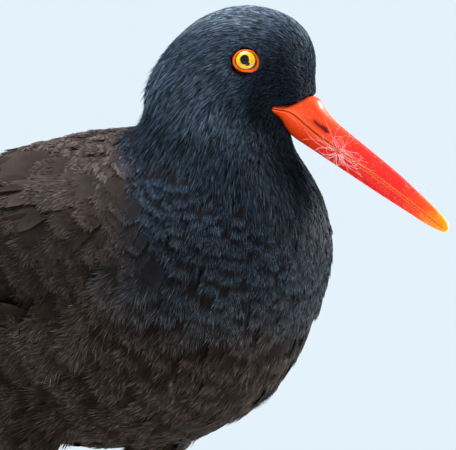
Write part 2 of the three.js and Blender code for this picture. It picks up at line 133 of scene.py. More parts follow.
def piece(name, shape, material, replaces=(), colours=None, uvs=(), values=()):
    """A visible piece. The shape is its points and triangles, and the rest are arrays by name."""
    points = metres(shape[0]).reshape(-1, 3)
    triangles = np.asarray(shape[1], np.int32)
    mesh = bpy.data.meshes.new(name)
    mesh.vertices.add(len(points))
    mesh.vertices.foreach_set("co", points.astype(np.float32).ravel())
    mesh.loops.add(triangles.size)
    mesh.loops.foreach_set("vertex_index", triangles.ravel())
    mesh.polygons.add(len(triangles))
    mesh.polygons.foreach_set("loop_start", np.arange(0, triangles.size, 3, dtype=np.int32))
    mesh.update(calc_edges=True)
    mesh.shade_smooth()
    if colours is not None:
        layer = mesh.attributes.new("Col", "FLOAT_COLOR", "POINT")
        rgba = np.ones((len(points), 4), np.float32)
        rgba[:, :3] = colours
        layer.data.foreach_set("color", rgba.ravel())
    for key, data in dict(values).items():
        layer = mesh.attributes.new(key, "FLOAT", "POINT")
        layer.data.foreach_set("value", np.asarray(data, np.float32).ravel())
    for key, data in dict(uvs).items():
        layer = mesh.uv_layers.new(name=key)
        layer.data.foreach_set("uv", np.asarray(data, np.float32)[triangles.ravel()].ravel())
    mesh.materials.append(material)
    made = placed(name, mesh)
    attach(made, "root")
    if replaces:
        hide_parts(*replaces)


def grid_triangles(rows, columns, closed=False):
    """Triangles of a grid of rows x columns points, closed round each row or not."""
    r, c = np.meshgrid(np.arange(rows - 1), np.arange(columns if closed else columns - 1), indexing="ij")
    a = r * columns + c
    b = r * columns + (c + 1) % columns
    quads = np.stack([a, b, b + columns, a + columns], -1).reshape(-1, 4)
    return np.concatenate([quads[:, [0, 1, 2]], quads[:, [0, 2, 3]]])


def capped(rows, sides, flipped=False):
    """Triangles of a closed grid with both of its ends filled in."""
    fan = np.array([(0, c, c + 1) for c in range(1, sides - 1)])
    back = fan[:, [0, 2, 1]]
    near_end, far_end = (back, fan) if flipped else (fan, back)
    return np.concatenate([grid_triangles(rows, sides, closed=True), near_end, far_end + (rows - 1) * sides])


def copies(count, size, triangles):
    """The triangles of one shape of so many points, for each of a row of such shapes."""
    return (np.arange(count)[:, None, None] * size + np.asarray(triangles)).reshape(-1, 3)


def smooth_rows(rows, count):
    """Rows of numbers resampled along a smooth curve through them."""
    rows = np.asarray(rows, float)
    t = np.linspace(0, len(rows) - 1, count)
    i = np.minimum(t.astype(int), len(rows) - 2)
    f = (t - i)[:, None]
    at = lambda k: rows[np.clip(i + k, 0, len(rows) - 1)]
    a, b, c, d = at(-1), at(0), at(1), at(2)
    return 0.5 * (2 * b + (c - a) * f + (2 * a - 5 * b + 4 * c - d) * f**2 + (3 * b - a - 3 * c + d) * f**3)


class Builder:
    """Collects parts of one mesh, with values for each point that may be given once for many."""

    def __init__(self):
        self.points, self.triangles, self.data, self.count = [], [], {}, 0

    def add(self, points, triangles, **data):
        points = np.asarray(points, float)
        for key, value in data.items():
            value = np.broadcast_to(value, (*points.shape[:-1], np.shape(value)[-1]))
            self.data.setdefault(key, []).append(value.reshape(-1, value.shape[-1]))
        self.points.append(points.reshape(-1, 3))
        self.triangles.append(np.asarray(triangles) + self.count)
        self.count += len(self.points[-1])

    def get(self, key):
        return np.concatenate(self.data[key])

    def mesh(self):
        return np.concatenate(self.points), np.concatenate(self.triangles)


# Materials
def material(name, roughness, **sockets):
    made = bpy.data.materials.new(name)
    made.use_nodes = True
    tree = made.node_tree
    shader = tree.nodes["Principled BSDF"]
    feed(tree, shader, {"Roughness": roughness, **{key.replace("_", " "): value for key, value in sockets.items()}})
    return made, tree, shader


def feed(tree, made, inputs):
    """Puts values, or the outputs of other nodes, into the inputs of a node."""
    for key, value in dict(inputs).items():
        if isinstance(value, bpy.types.NodeSocket):
            tree.links.new(value, made.inputs[key])
        else:
            made.inputs[key].default_value = value


def node(tree, kind, inputs=(), **settings):
    made = tree.nodes.new(kind)
    for key, value in settings.items():
        setattr(made, key, value)
    feed(tree, made, inputs)
    return made


def maths(tree, operation, *values):
    return node(tree, "ShaderNodeMath", enumerate(values), operation=operation).outputs[0]


def attribute(tree, name, output="Fac"):
    return node(tree, "ShaderNodeAttribute", attribute_name=name).outputs[output]


def texture(tree, kind, inputs, output, **settings):
    """A texture in the object's space."""
    place = node(tree, "ShaderNodeTexCoord").outputs["Object"]
    return node(tree, kind, {"Vector": place, **inputs}, **settings).outputs[output]


def noise(tree, scale, detail=4.0):
    return texture(tree, "ShaderNodeTexNoise", {"Scale": scale, "Detail": detail, "Roughness": 0.6}, "Fac")


def ranged(tree, value, low, high, new_low, new_high):
    inputs = {"Value": value, "From Min": low, "From Max": high, "To Min": new_low, "To Max": new_high}
    return node(tree, "ShaderNodeMapRange", inputs).outputs["Result"]


def shade(tree, base, factor):
    """A colour times a number."""
    return node(tree, "ShaderNodeVectorMath", {0: base, "Scale": factor}, operation="SCALE").outputs["Vector"]


def blend(tree, low, high, factor):
    """Two colours mixed, each an output or three numbers."""
    low, high = (c if isinstance(c, bpy.types.NodeSocket) else (*c, 1) for c in (low, high))
    return node(tree, "ShaderNodeMix", {0: factor, 6: low, 7: high}, data_type="RGBA").outputs[2]


def finished(made, tree, shader, base, height=None, strength=0.0, distance=0.0):
    """The material with its base colour, and with a bump where a height is given."""
    feed(tree, shader, {"Base Color": base})
    if height is not None:
        bump = node(tree, "ShaderNodeBump", {"Strength": strength, "Distance": distance, "Height": height})
        feed(tree, shader, {"Normal": bump.outputs["Normal"]})
    return made


def plumage_material(name, roughness, lines=True):
    """Colours from the mesh, with the fine lines of the barbs where the feathers are unwrapped."""
    made, tree, shader = material(name, roughness, Specular_IOR_Level=0.03)
    base = shade(tree, attribute(tree, "Col", "Color"), ranged(tree, noise(tree, 180), 0.25, 0.75, 0.8, 1.2))
    if not lines:
        return finished(made, tree, shader, base)
    vane = node(tree, "ShaderNodeUVMap", uv_map="Vane").outputs["UV"]
    across, along = node(tree, "ShaderNodeSeparateXYZ", {0: vane}).outputs[:2]
    slant = maths(tree, "MULTIPLY_ADD", maths(tree, "ABSOLUTE", across), -0.35, along)
    inputs = {"W": slant, "Scale": 3.2, "Detail": 3.0, "Roughness": 0.7}
    barbs = node(tree, "ShaderNodeTexNoise", inputs, noise_dimensions="1D").outputs["Fac"]
    base = shade(tree, base, ranged(tree, barbs, 0.3, 0.7, 0.72, 1.25))
    return finished(made, tree, shader, base, barbs, 0.5, 0.0004)


skin_material = plumage_material("skin", 0.8, lines=False)
coat_material = plumage_material("coat", 0.55)
vane_material = plumage_material("vanes", 0.5)

# Plumage colours
SLATE = colour(57, 69, 82)
SLATE_DARK = colour(20, 26, 35)
BROWN = colour(78, 65, 60)
BROWN_DARK = colour(30, 19, 14)
BELLY = colour(51, 42, 35)
BROWN_EDGE = colour(130, 116, 109)


def above(plane, p):
    """Height in mm over a plane."""
    x, z, ahead, up = plane
    return (p[..., 0] - x) * ahead + (p[..., 2] - z) * up


def above_neck(p):
    return above(NECK_PLANE, p)


def above_throat(p):
    return above(HEAD_PLANE, head_frame(p))


def eye_distance(p):
    """Distance to the nearer eye, cut short towards the low front corner of its ring."""
    off = left_half(p) - (NECK_X + EYE["forward"] + 1.0, 19.7, EYE["height"] + 1.1)
    far = np.linalg.norm(off, axis=-1)
    corner = (0.82 * off[..., 0] - 0.57 * off[..., 2]) / np.maximum(far, 0.1)
    return far - 1.2 * np.maximum(corner, 0) ** 7


def near(p, centre, radius):
    return 1 - ramp(np.linalg.norm(p - np.asarray(centre), axis=-1), radius * 0.4, radius)


def mantle(p):
    """How far places are on the brown back."""
    x, z = p[..., 0], p[..., 2]
    return ramp(-above_neck(p), 0, 10) * ramp(z - 0.35 * (60 - x), 130, 180) * ramp(62 - x, 0, 30)


def toned(made, factors, amount):
    """Colours times factors, as far as the amount says."""
    return made * mix(np.ones(3), np.array(factors), amount[..., None])


def plumage(p):
    """Feather colour at places on the body, with painted shade on the neck under the head and painted light on the top
    of the back, the crown and the nape.
    """
    x, z = p[..., 0], p[..., 2]
    u, head, back, local = above_neck(p), above_throat(p), mantle(p), left_half(p)
    low = ramp(165 - z, 0, 50) * ramp(-u, 10, 40)
    rear = ramp(72 - x, 0, 50) * ramp(-u, 8, 40)
    lores = near(local, (88, 10, 221), 20) * 0.8 + near(local, (76, 13, 215), 18) * 0.35
    throat = near(local, (82, 3, 194), 32) * 0.75
    front = ramp(head, -60, -20) * ramp(-head, -6, 14) * 0.35
    made = toned(SLATE, (0.56, 0.5, 0.46), ramp(190 - z, 0, 30))
    made = mix(made, BELLY, np.clip(low + rear, 0, 1)[..., None])
    made = mix(made, BROWN, back[..., None])
    made = mix(made, SLATE_DARK * 0.8, np.clip(lores + throat + front, 0, 0.9)[..., None])
    # painted shade: the neck darker and bluer where it lies under the head
    made = toned(made, (0.42, 0.48, 0.5), ramp(u, -6, 10) * ramp(-head, -8, 8))
    # painted light: the top of the back lighter, as if lit from above
    made = toned(made, 1.5, back * ramp(z, 186, 200) * ramp(x, -50, -20))
    # painted highlight: the crown much lighter, as if lit from overhead
    made = toned(made, (4.1, 3.6, 3.3), ramp(local[..., 2], 236, 249))
    # painted rim light on the nape
    return toned(made, 1.8, near(local, (30, 0, 222), 24))


# The lie of the feathers, from directions at places on the right half, given as place and direction
HEAD_LIE = [
    ((97, 0, 224), (-0.3, 0, 1)), ((91, 0, 241), (-0.75, 0, 0.6)), ((68, 0, 250), (-1, 0, 0)),
    ((47, 0, 242), (-0.8, 0, -0.65)), ((34, 0, 226), (-0.3, 0, -1)), ((95, 7, 216), (-0.8, 0.4, 0.25)),
    ((86, 12, 229), (-0.9, 0.2, 0.3)), ((74, 17, 240), (-1, 0, 0.05)), ((57, 19, 231), (-0.9, 0, -0.5)),
    ((50, 20, 220), (-0.6, 0, -0.85)), ((74, 15, 213), (-0.8, 0, -0.6)), ((84, 10, 204), (-0.8, 0, -0.65)),
    ((88, 0, 199), (-0.5, 0, -0.9)), ((66, 22, 204), (-0.35, 0, -1)), ((36, 12, 216), (-0.35, 0, -1)),
]
BODY_LIE = [
    ((31, 0, 212), (-0.35, 0, -0.9)), ((40, 22, 207), (-0.3, 0, -1)), ((66, 28, 196), (-0.15, 0, -1)),
    ((93, 0, 188), (0.25, 0, -1)), ((104, 0, 165), (0.05, 0, -1)), ((85, 34, 170), (-0.1, 0, -1)),
    ((101, 0, 142), (-0.12, 0, -1)), ((92, 0, 116), (-0.5, 0, -0.85)), ((70, 0, 92), (-0.9, 0, -0.4)),
    ((78, 38, 128), (-0.35, 0, -0.95)), ((50, 40, 110), (-0.7, 0, -0.7)), ((20, 0, 77), (-1, 0, 0)),
    ((20, 40, 100), (-0.92, 0, -0.35)), ((-30, 38, 110), (-1, 0, -0.1)), ((-90, 0, 103), (-1, 0, 0.35)),
    ((60, 46, 165), (-0.5, 0, -0.85)), ((35, 46, 150), (-0.75, 0, -0.6)), ((10, 0, 201), (-1, 0, -0.1)),
    ((0, 32, 190), (-1, 0, -0.3)), ((27, 0, 205), (-0.9, 0, -0.45)), ((-60, 0, 187), (-1, 0, -0.3)),
    ((-112, 0, 162), (-1, 0, -0.45)), ((-100, 20, 140), (-1, 0, 0)), ((0, 22, 75), (-0.9, 0, -0.6)),
]


def lie(p):
    """Directions in which the feathers lie at places on the body, before they follow its surface."""
    total, weight = np.zeros_like(p), 0
    for guides, local, angle in ((HEAD_LIE, head_frame(p), HEAD_TURN), (BODY_LIE, p, 0.0)):
        flip = np.where(local[:, 1:2] < 0, [1.0, -1.0, 1.0], 1.0)
        for place, way in guides:
            pull = 1 / (np.sum((local * flip - place) ** 2, 1, keepdims=True) + 9) ** 2
            total = total + pull * unit(turned(way * flip, angle, 0.0))
            weight = weight + pull
    return total / weight


SWIRLS = np.array([
    (0.52, 0.31, -0.44), (-0.38, 0.55, 0.33), (0.29, -0.47, 0.5), (0.61, 0.12, 0.36), (-0.2, 0.4, 0.63),
    (0.45, 0.5, -0.1),
])


def swirl(p):
    """Small waves in the lie, shared by neighbouring feathers."""
    waves = np.sin(p @ SWIRLS.T + np.arange(6) * 1.7)
    return waves[:, :3] + waves[:, 3:]


def past_feathers(p):
    """How far places lie in front of the edge of the feathers at the root of the bill."""
    local = head_frame(p)
    x, z = local[:, 0] - BILL_BASE[0], local[:, 2] - BILL_BASE[1]
    c, n = math.cos(BILL_PITCH), math.sin(BILL_PITCH)
    s, h = x * c - z * n, x * n + z * c
    edge = np.interp(h, [-18.6, -16.4, -15.3, -14.4, -11.8, -8.2, -4, 0], [4, 0.6, -6.6, -6.2, -3.9, -1.9, -1.2, 0])
    return np.where((h < 1) & (h > -19) & (above_throat(p) > -8), s - edge, -9)


# Surfaces that the feathers stand on
def coat_depth(p):
    """How far the skin lies under the outline of the solids."""
    u, head = above_neck(p), above_throat(p)
    depth = mix(2.8, 1.5, ramp(u, -15, 8))
    depth = mix(depth, 0.8, ramp(head, -4, 10))
    bill = np.linalg.norm(head_frame(p) - (92, 0, 208), axis=-1)
    depth = depth * mix(0.3, 1, ramp(eye_distance(p), 4, 12)) * mix(0.3, 1, ramp(bill, 8, 18))
    return depth + 2.6 * ramp(past_feathers(p), -0.6, 0.8)


def evaluated(obj):
    """Points, normals and triangles of an object with its modifiers."""
    mesh = obj.evaluated_get(bpy.context.evaluated_depsgraph_get()).data
    mesh.calc_loop_triangles()
    found = []
    for items, key, kind in ((mesh.vertices, "co", np.float32), (mesh.vertices, "normal", np.float32),
                             (mesh.loop_triangles, "vertices", np.int32)):
        array = np.empty(len(items) * 3, kind)
        items.foreach_get(key, array)
        found.append(array.reshape(-1, 3))
    return found[0].astype(float), found[1].astype(float), found[2]


class Surface:
    """One smooth closed surface round some of the solids, let in by a depth."""

    def __init__(self, names, cell, relaxing, depth):
        joined = Builder()
        for name in names:
            points, _, triangles = evaluated(nodes[name])
            joined.add(points, triangles)
        points, triangles = joined.mesh()
        mesh = bpy.data.meshes.new("joined")
        mesh.from_pydata(points.tolist(), [], triangles.tolist())
        source = placed("joined", mesh)
        remesh = source.modifiers.new("remesh", "REMESH")
        remesh.mode = "VOXEL"
        remesh.voxel_size = cell
        relax = source.modifiers.new("relax", "SMOOTH")
        relax.factor = 0.5
        relax.iterations = relaxing
        points, normals, self.triangles = evaluated(source)
        bpy.data.objects.remove(source)
        points = points * 1000 - SHIFT
        self.points = points - normals * depth(points)[:, None]
        self.tree = BVHTree.FromPolygons(self.points.tolist(), self.triangles.tolist())

    def nearest(self, p):
        """The nearest places on the surface, with its normals there."""
        found = [self.tree.find_nearest(Vector(x)) for x in p.tolist()]
        return np.array([f[0] for f in found]), np.array([f[1] for f in found])

    def scatter(self, keep, spacing, draws=3.2, closest=0.64):
        """Places on the surface where keep allows them, at the spacing. Closest is a share of the spacing, squared."""
        a, b, c = (self.points[self.triangles[:, k]] for k in range(3))
        area = np.linalg.norm(np.cross(b - a, c - a), axis=1) / 2
        middle = (a + b + c) / 3
        wanted = np.where(keep(middle), area / spacing(middle) ** 2, 0)
        total = int(wanted.sum() * draws)
        chosen = rng.choice(len(area), total, p=wanted / wanted.sum())
        r, s = np.sqrt(rng.random(total)), rng.random(total)
        weights = np.stack([1 - r, r * (1 - s), r * s], 1)
        places = sum(weights[:, k : k + 1] * (a, b, c)[k][chosen] for k in range(3))
        gap = spacing(places)
        size = float(gap.max())
        cells, kept = {}, []
        steps = [(i, j, k) for i in (-1, 0, 1) for j in (-1, 0, 1) for k in (-1, 0, 1)]
        keys = np.floor(places / size).astype(int).tolist()
        for i, ((x, y, z), p, d) in enumerate(zip(keys, places.tolist(), (closest * gap**2).tolist())):
            around = (q for i1, j1, k1 in steps for q in cells.get((x + i1, y + j1, z + k1), ()))
            if all((q[0] - p[0]) ** 2 + (q[1] - p[1]) ** 2 + (q[2] - p[2]) ** 2 >= d for q in around):
                cells.setdefault((x, y, z), []).append(p)
                kept.append(i)
        return places[kept]


skin = Surface(FLESH, cell=0.0014, relaxing=7, depth=coat_depth)
# the skin takes less than half the plumage colour: painted shade where it shows between the feathers
skin_colours = plumage(skin.points) * 0.45
piece("skin", (skin.points, skin.triangles), skin_material, FLESH, skin_colours)
# The torso with the folded wings, for the feathers that lie on them, and the torso with the tail
COARSE = dict(cell=0.0018, relaxing=14)
folded = Surface(["torso", "neck", "wing_left", "wing_right"], depth=lambda p: np.full(len(p), 1.2), **COARSE)
stern = Surface(["torso", "tail"], depth=lambda p: np.full(len(p), 1.6), **COARSE)


def square(way, n):
    """Directions made square to others."""
    return unit(way - n * np.sum(way * n, -1, keepdims=True))


# How deep the roots of the feathers are sunk into the skin
SUNK = 0.15


def spines(surface, roots, length, steps, rise, wander=0.08, tip=0.0, waves=0.0):
    """Lines from the roots along the lie, close over the surface: points, normals and directions across."""
    p, n = surface.nearest(roots)
    way = square(unit(lie(p) + swirl(p) * waves + rng.normal(0, wander, p.shape)), n)
    line, normals = [p], [n]
    for _ in range(steps - 1):
        p, n = surface.nearest(p + way * (length / (steps - 1))[:, None])
        way = square(way * 0.7 + unit(lie(p) + swirl(p) * waves) * 0.3, n)
        line.append(p)
        normals.append(n)
    line, normals = np.stack(line, 1), np.stack(normals, 1)
    along = np.linspace(0, 1, steps)[None, :, None]
    rise, tip = (np.broadcast_to(a, len(p))[:, None, None] for a in (rise, tip))
    line = line + normals * (rise * along**0.4 + tip * along**3 - SUNK)
    return line, normals, unit(np.cross(normals, unit(np.gradient(line, axis=1))))


# Unwrap of the skin: along the middle line of the bird, and round it
MIDDLE_LINE = np.array([
    (-190, 0, 134), (-120, 0, 145), (-60, 0, 142), (0, 0, 140), (40, 0, 148), (58, 0, 172), (62, 0, 200), (68, 0, 222),
    (98, 0, 215),
], float)


MARGIN = 0.01


def unwrap(p):
    local = np.where(above_throat(p)[:, None] > 0, head_frame(p), p)
    best, place, angle = np.full(len(p), 1e9), np.zeros(len(p)), np.zeros(len(p))
    start = 0.0
    for a, b in zip(MIDDLE_LINE[:-1], MIDDLE_LINE[1:]):
        along = np.linalg.norm(b - a)
        way = (b - a) / along
        t = np.clip((local - a) @ way, 0, along)
        off = local - (a + t[:, None] * way)
        far = np.linalg.norm(off, axis=1)
        closer = far < best
        top = np.cross(way, (0, 1, 0))
        best = np.where(closer, far, best)
        place = np.where(closer, start + t, place)
        angle = np.where(closer, np.arctan2(off[:, 1], off @ -top), angle)
        start += along
    return np.stack([mix(MARGIN, 1 - MARGIN, share) for share in (angle / (2 * math.pi) + 0.5, place / start)], 1)


# Feathers in bulk. The arrays are spines (N, S, 3), with normals and directions across of the same shape
def along_spine(array, s):
    """Values at s along each spine, past its end too: s is (N, B)."""
    steps = array.shape[1] - 1
    t = s * steps
    i = np.clip(t.astype(int), 0, steps - 1)
    f = (t - i)[..., None]
    rows = np.arange(len(array))[:, None]
    return array[rows, i] * (1 - f) + array[rows, i + 1] * f


def outline(s):
    """Half width at s along a feather, as a share, with a round tip at 1.18."""
    widest, root = 0.62, 0.72
    tip = np.sqrt(np.clip(1 - ((s - widest) / 0.56) ** 2, 0, 1))
    return np.where(s < widest, root + (1 - root) * np.clip(s / widest, 0, 1), tip)


# Half the width, and the length, that a feather takes up in the unwrap
PATCH = (0.0014, 0.0026)


def off_spine(spine, share, side, level, end=9.0):
    """Places at shares of the spines, moved across them and off the surface."""
    line, normals, across = spine
    inside = np.clip(share, 0, 1)
    return (along_spine(line, np.clip(share, 0, end)) + along_spine(across, inside) * side[..., None]
            + along_spine(normals, inside) * level[..., None])


def patch(across, along):
    """Offsets in the unwrap from the root of a feather, for places across it in half widths and along it."""
    return np.stack(np.broadcast_arrays(across * PATCH[0], along * PATCH[1]), -1)


def blade_sides(across, up, twist, blade):
    """Half the width of each blade, in its direction across, twisted at random."""
    half = blade * (1 + rng.normal(0, 0.2, up.shape[:2]))
    return unit(across + up * rng.normal(0, twist, up.shape[:2])[..., None]) * half[..., None]


# Which of root, middle and end each of the five points of a blade is at
BLADE = [0, 0, 1, 1, 2]


def add_strands(builder, spine, ends, wide, colours, hue, shares, across, along):
    """Thin blades, with factors of the colour for each blade and along it, darkest at the root as painted shade among
    the strands, and their places in the unwrap.
    """
    root, middle, end = ends
    points = np.stack([root - wide * 0.7, root + wide * 0.7, middle - wide, middle + wide, end], -2)
    count, strands = points.shape[:2]
    tint = colours[:, None, None] * hue[..., None, None] * np.array(shares)[BLADE, None]
    uv = unwrap(spine[0][:, 0])[:, None, None] + patch(across[..., None], np.clip(along, 0, 1.2)[..., BLADE])
    builder.add(points, copies(count * strands, 5, [[0, 1, 3], [0, 3, 2], [2, 3, 4]]), uv=uv,
                colour=np.clip(tint, DARKEST, BRIGHTEST), vane=rng.random((count, strands, 1, 1)) * [900, 900])


def scales(builder, spine, length, share, vane_colour, barb_colour, strands=130, start=0.5, reach=0.2, fan=0.45,
           blade=0.14, lift=0.12, cup=0.4, plain=0.35, grey=0.4):
    """Rounded feathers: a smooth vane, and loose hair-like barbs that start on it and fray past its edge."""
    line, normals, across = spine
    count = len(line)
    length = length[:, None]
    width = share * length
    stops = np.array([0.0, 0.3, 0.55, 0.76, 0.9, 0.99])
    sides = np.array([-1, -0.55, 0, 0.55, 1])
    stop = np.repeat(stops[None, :], count, 0)
    middle, sideways, up = (along_spine(a, stop)[:, :, None] for a in (line, across, normals))
    half = (width * outline(stop) * [0.8, 0.95, 1, 1, 0.95, 0.8])[..., None, None]
    roll = rng.normal(0, 0.07, (count, 1, 1, 1))
    fall = cup * sides[:, None] ** 2 - roll * sides[:, None] * width[..., None, None]
    rim = np.clip(ramp(np.abs(sides), 0.5, 1)[None, :] + ramp(stops, 0.7, 1)[:, None], 0, 1)[None, ..., None]
    hue = 1 + rng.normal(0, 0.1, (count, 1, 1, 1))
    tint = mix(vane_colour[:, None, None], barb_colour[:, None, None], rim * 0.5) * hue
    grid = np.broadcast_arrays(sides * half[..., 0], (stop * length)[..., None])
    # the vane darker towards its root: painted shade where the feathers in front lie over it
    builder.add(middle + sideways * sides[:, None] * half - up * fall, copies(count, 30, grid_triangles(6, 5)),
                colour=tint * mix(0.55, 1, ramp(stops, 0.2, 0.8))[:, None, None], vane=np.stack(grid, -1),
                uv=unwrap(line[:, 0])[:, None, None] + patch(sides[None, :], stops[:, None]))
    # loose barbs
    turn = rng.random((count, 1))
    x = (np.arange(strands) * 0.618034 + turn) % 1 * 2 - 1
    first = np.where(rng.random((count, 1)) < plain, np.maximum(start, 0.74), start)
    s = first + (0.99 - first) * rng.random((count, strands))
    angle = x * fan * (0.55 + 0.6 * s) + rng.normal(0, 0.05, x.shape)
    run = reach * length * np.clip(1 + rng.normal(0, 0.16, x.shape), 0.4, 1.6)
    mid_s, end_s = (s + f * run * np.cos(angle) / length for f in (0.5, 1.0))
    base = width * outline(s) * x * 0.92
    mid_x, end_x = base + 0.46 * run * np.sin(angle), base + run * np.sin(angle) * 1.06
    drop = cup * x**2 - roll[..., 0, 0] * x * width
    high = lift * rng.random(x.shape) ** 1.5
    ends = (off_spine(spine, s, base, 0.02 - drop), off_spine(spine, mid_s, mid_x, 0.22 - drop + 0.4 * high),
            off_spine(spine, end_s, end_x, high - drop * 1.3))
    up = along_spine(normals, s)
    wide = blade_sides(np.cross(up, ends[2] - ends[0]), up * run[..., None], 0.3, blade)
    combed = np.sin(x * width * 8.0 + turn * 40)
    hue = 1 + rng.normal(0, 0.08, (count, 1))
    hue = hue * np.exp(grey * (1.2 * combed + np.clip(rng.normal(0, 0.6, x.shape), -2, 1.2)))
    # barbs darker near where they start and lighter at the edge: painted shade under the feathers in front
    hue = hue * mix(0.55, 1.15, ramp(s, start, 0.98))
    # blades darkest at the root: painted shade among the barbs
    add_strands(builder, spine, ends, wide, barb_colour, hue, (0.35, 1.0, 1.15), x, np.stack([s, mid_s, end_s], -1))


# A tuft's share of a feather's width in the unwrap
TUFT_PATCH = 13 / 14


def tufts(builder, spine, width, barb_colour, blades=8, blade=0.15, lift=0.3, grey=0.72):
    """Small tufts of hair-like barbs that fan out from one root in three locks."""
    _, normals, across = spine
    count = len(width)
    locks = np.array([-0.68, 0, 0.68])
    lock = np.arange(blades) * 3 // blades
    x = (locks + rng.normal(0, 0.16, (count, 3)))[:, lock]
    x = x + (np.linspace(-1, 1, blades) - locks[lock]) * 0.5 + rng.normal(0, 0.06, (count, blades))
    reach = 1 - 0.2 * np.abs(x) + rng.normal(0, 0.14, (count, blades))
    side = x * width[:, None]
    high = lift * rng.random(x.shape) ** 1.5
    ends = [off_spine(spine, reach * a, side * b, high * c, 1.2)
            for a, b, c in ((0, 0.4, 0), (0.55, 0.75, 0.5), (1, 1, 1))]
    wide = blade_sides(along_spine(across, reach * 0.6), along_spine(normals, reach * 0.6), 0.5, blade)
    shine = 0.85 * rng.normal(0, 1, (count, 3))[:, lock] + rng.normal(0, 0.5, x.shape)
    # blades darkest at the root: painted shade among the barbs
    add_strands(builder, spine, ends, wide, barb_colour, np.exp(grey * np.clip(shine, -2, 1.4)), (0.3, 0.95, 1.15),
                x * TUFT_PATCH, np.array([0, 0.55, 1]))


def feathers(name, builder, material, replaces=()):
    uvs = {"OFBake": builder.get("uv"), "Vane": builder.get("vane")}
    piece(name, builder.mesh(), material, replaces, np.clip(builder.get("colour"), DARKEST, 1), uvs)


# Coat of the head, neck and body
WRIST_X = 52


def wing_zone(p):
    """Distance behind the wrist, and height over the middle of the folded wing."""
    b = WRIST_X - p[:, 0]
    return b, p[:, 2] - np.interp(b, [0, 40, 80, 120, 160, 200], [160, 157, 154.5, 152.5, 151, 150])


def under_wing(p):
    """True where a folded wing or the feathers on it cover the body."""
    b, q = wing_zone(p)
    low = np.interp(b, [0, 30, 80, 120, 170], [-10, -32, -30, -24, -4])
    high = np.interp(b, [0, 30, 50, 80, 110, 130, 170], [8, 26, 43, 36, 29, 20, 4])
    return (b > 4) & (b < 170) & (np.abs(p[:, 1]) > 11) & (q > low + 7) & (q < high - 10)


def bare(p):
    """True on the bare rings of the eyes, inside the bill's root and on the cut ends of rump and legs."""
    return (eye_distance(p) < 4.75) | (past_feathers(p) > -0.3) | (p[:, 0] < -119) | (p[:, 2] < 64.5)


def lengths(p):
    """Feather length at places on the body."""
    u, head = above_neck(p), above_throat(p)
    face = np.linalg.norm(head_frame(p) * [1, 0, 1] - (92, 0, 214), axis=-1)
    made = mix(17, 8, ramp(u, -60, 5))
    made = mix(made, 5.6, ramp(head, -6, 14))
    made = mix(1.6, made, ramp(face, 2, 34))
    return made * mix(0.45, 1, ramp(eye_distance(p), 5, 12))


def varied(length, spread, low=0.6, high=1.4):
    """Lengths that differ at random, within limits."""
    return length * np.clip(1 + rng.normal(0, spread, len(length)), low, high)


def pick(chosen, *arrays):
    return [a[chosen] for a in arrays]


def head_part(p):
    return (above_neck(p) > 2 - 40 * rng.random(len(p)) ** 1.6) & ~bare(p)


def body_part(p):
    return (above_neck(p) < rng.uniform(-9, 2, len(p))) & ~bare(p) & ~under_wing(p)


HEAD_STEPS = 4
roots = skin.scatter(head_part, lambda p: 0.13 * lengths(p) + 0.34)
size = varied(lengths(roots), 0.14, 0.5, 1.5)
nape = near(head_frame(roots), (33, 0, 216), 30)
spine = spines(skin, roots, size * (1 + 0.15 * nape), HEAD_STEPS, coat_depth(roots) * (0.9 - 0.4 * nape), wander=0.1,
               tip=nape * np.abs(rng.normal(0, 0.9, len(roots))), waves=0.09)
clear = past_feathers(spine[0].reshape(-1, 3)).reshape(-1, HEAD_STEPS).max(1) < 0.3
roots, size, *spine = pick(clear, roots, size, *spine)
order = np.argsort(roots[:, 1])
half = len(roots) // 2
for name, chosen in (("coat_head_right", order[:half]), ("coat_head_left", order[half:])):
    part = Builder()
    tufts(part, pick(chosen, *spine), (0.15 * size + 0.2)[chosen], plumage(roots[chosen]) * 0.8)
    feathers(name, part, coat_material)

roots = skin.scatter(body_part, lambda p: 0.43 * lengths(p))
size = varied(lengths(roots), 0.08)
spine = spines(skin, roots, size, 5, coat_depth(roots), wander=0.05, waves=0.03)
back = mantle(roots) > 0.5
right, front = (roots[:, 1] < 0) & ~back, roots[:, 0] > 20
left = ~right & ~back
for name, chosen in (("coat_front_right", front & right), ("coat_front_left", front & left),
                     ("coat_rear_right", ~front & right), ("coat_rear_left", ~front & left), ("coat_mantle", back)):
    part = Builder()
    here = plumage(roots[chosen])
    these = pick(chosen, *spine)
    if name == "coat_mantle":
        scales(part, these, size[chosen], 0.44, here, mix(here * 0.9, BROWN_EDGE * 0.85, 0.35), reach=0.18)
    else:
        fine = 0.8 if "rear" in name else 1.0
        # vanes near black brown under the loose barbs: dark feather bases, darkened further as painted shade beneath
        # the feather tips
        scales(part, these, size[chosen], 0.42, mix(here * 0.35, BROWN_DARK, 0.8) * 0.8, here * 0.85, 150, reach=0.27,
               fan=0.3, blade=0.15 * fine, lift=0.16, plain=0.6, grey=0.62 * fine)
    feathers(name, part, coat_material)

# Scapulars, mantle sides and wing coverts, on the folded wings
WING_LOW = ([-8, 0, 20, 60, 110], [-2, -8, -20, -24, -22])


def on_wing(p):
    b, q = wing_zone(p)
    reach = np.interp(q, [-26, -12, 0, 12, 24], [52, 66, 74, 92, 104])
    high = np.interp(b, [-8, 0, 20, 50, 70, 90, 120], [10, 20, 30, 39, 31, 25, 19])
    return (b > -6) & (b < reach) & (np.abs(p[:, 1]) > 9) & (q > np.interp(b, *WING_LOW)) & (q < high)


def on_flank(p):
    b, q = wing_zone(p)
    low = np.interp(b, *WING_LOW)
    return (b > -10) & (b < 52) & (np.abs(p[:, 1]) > 20) & (q <= low) & (q > low - 14)


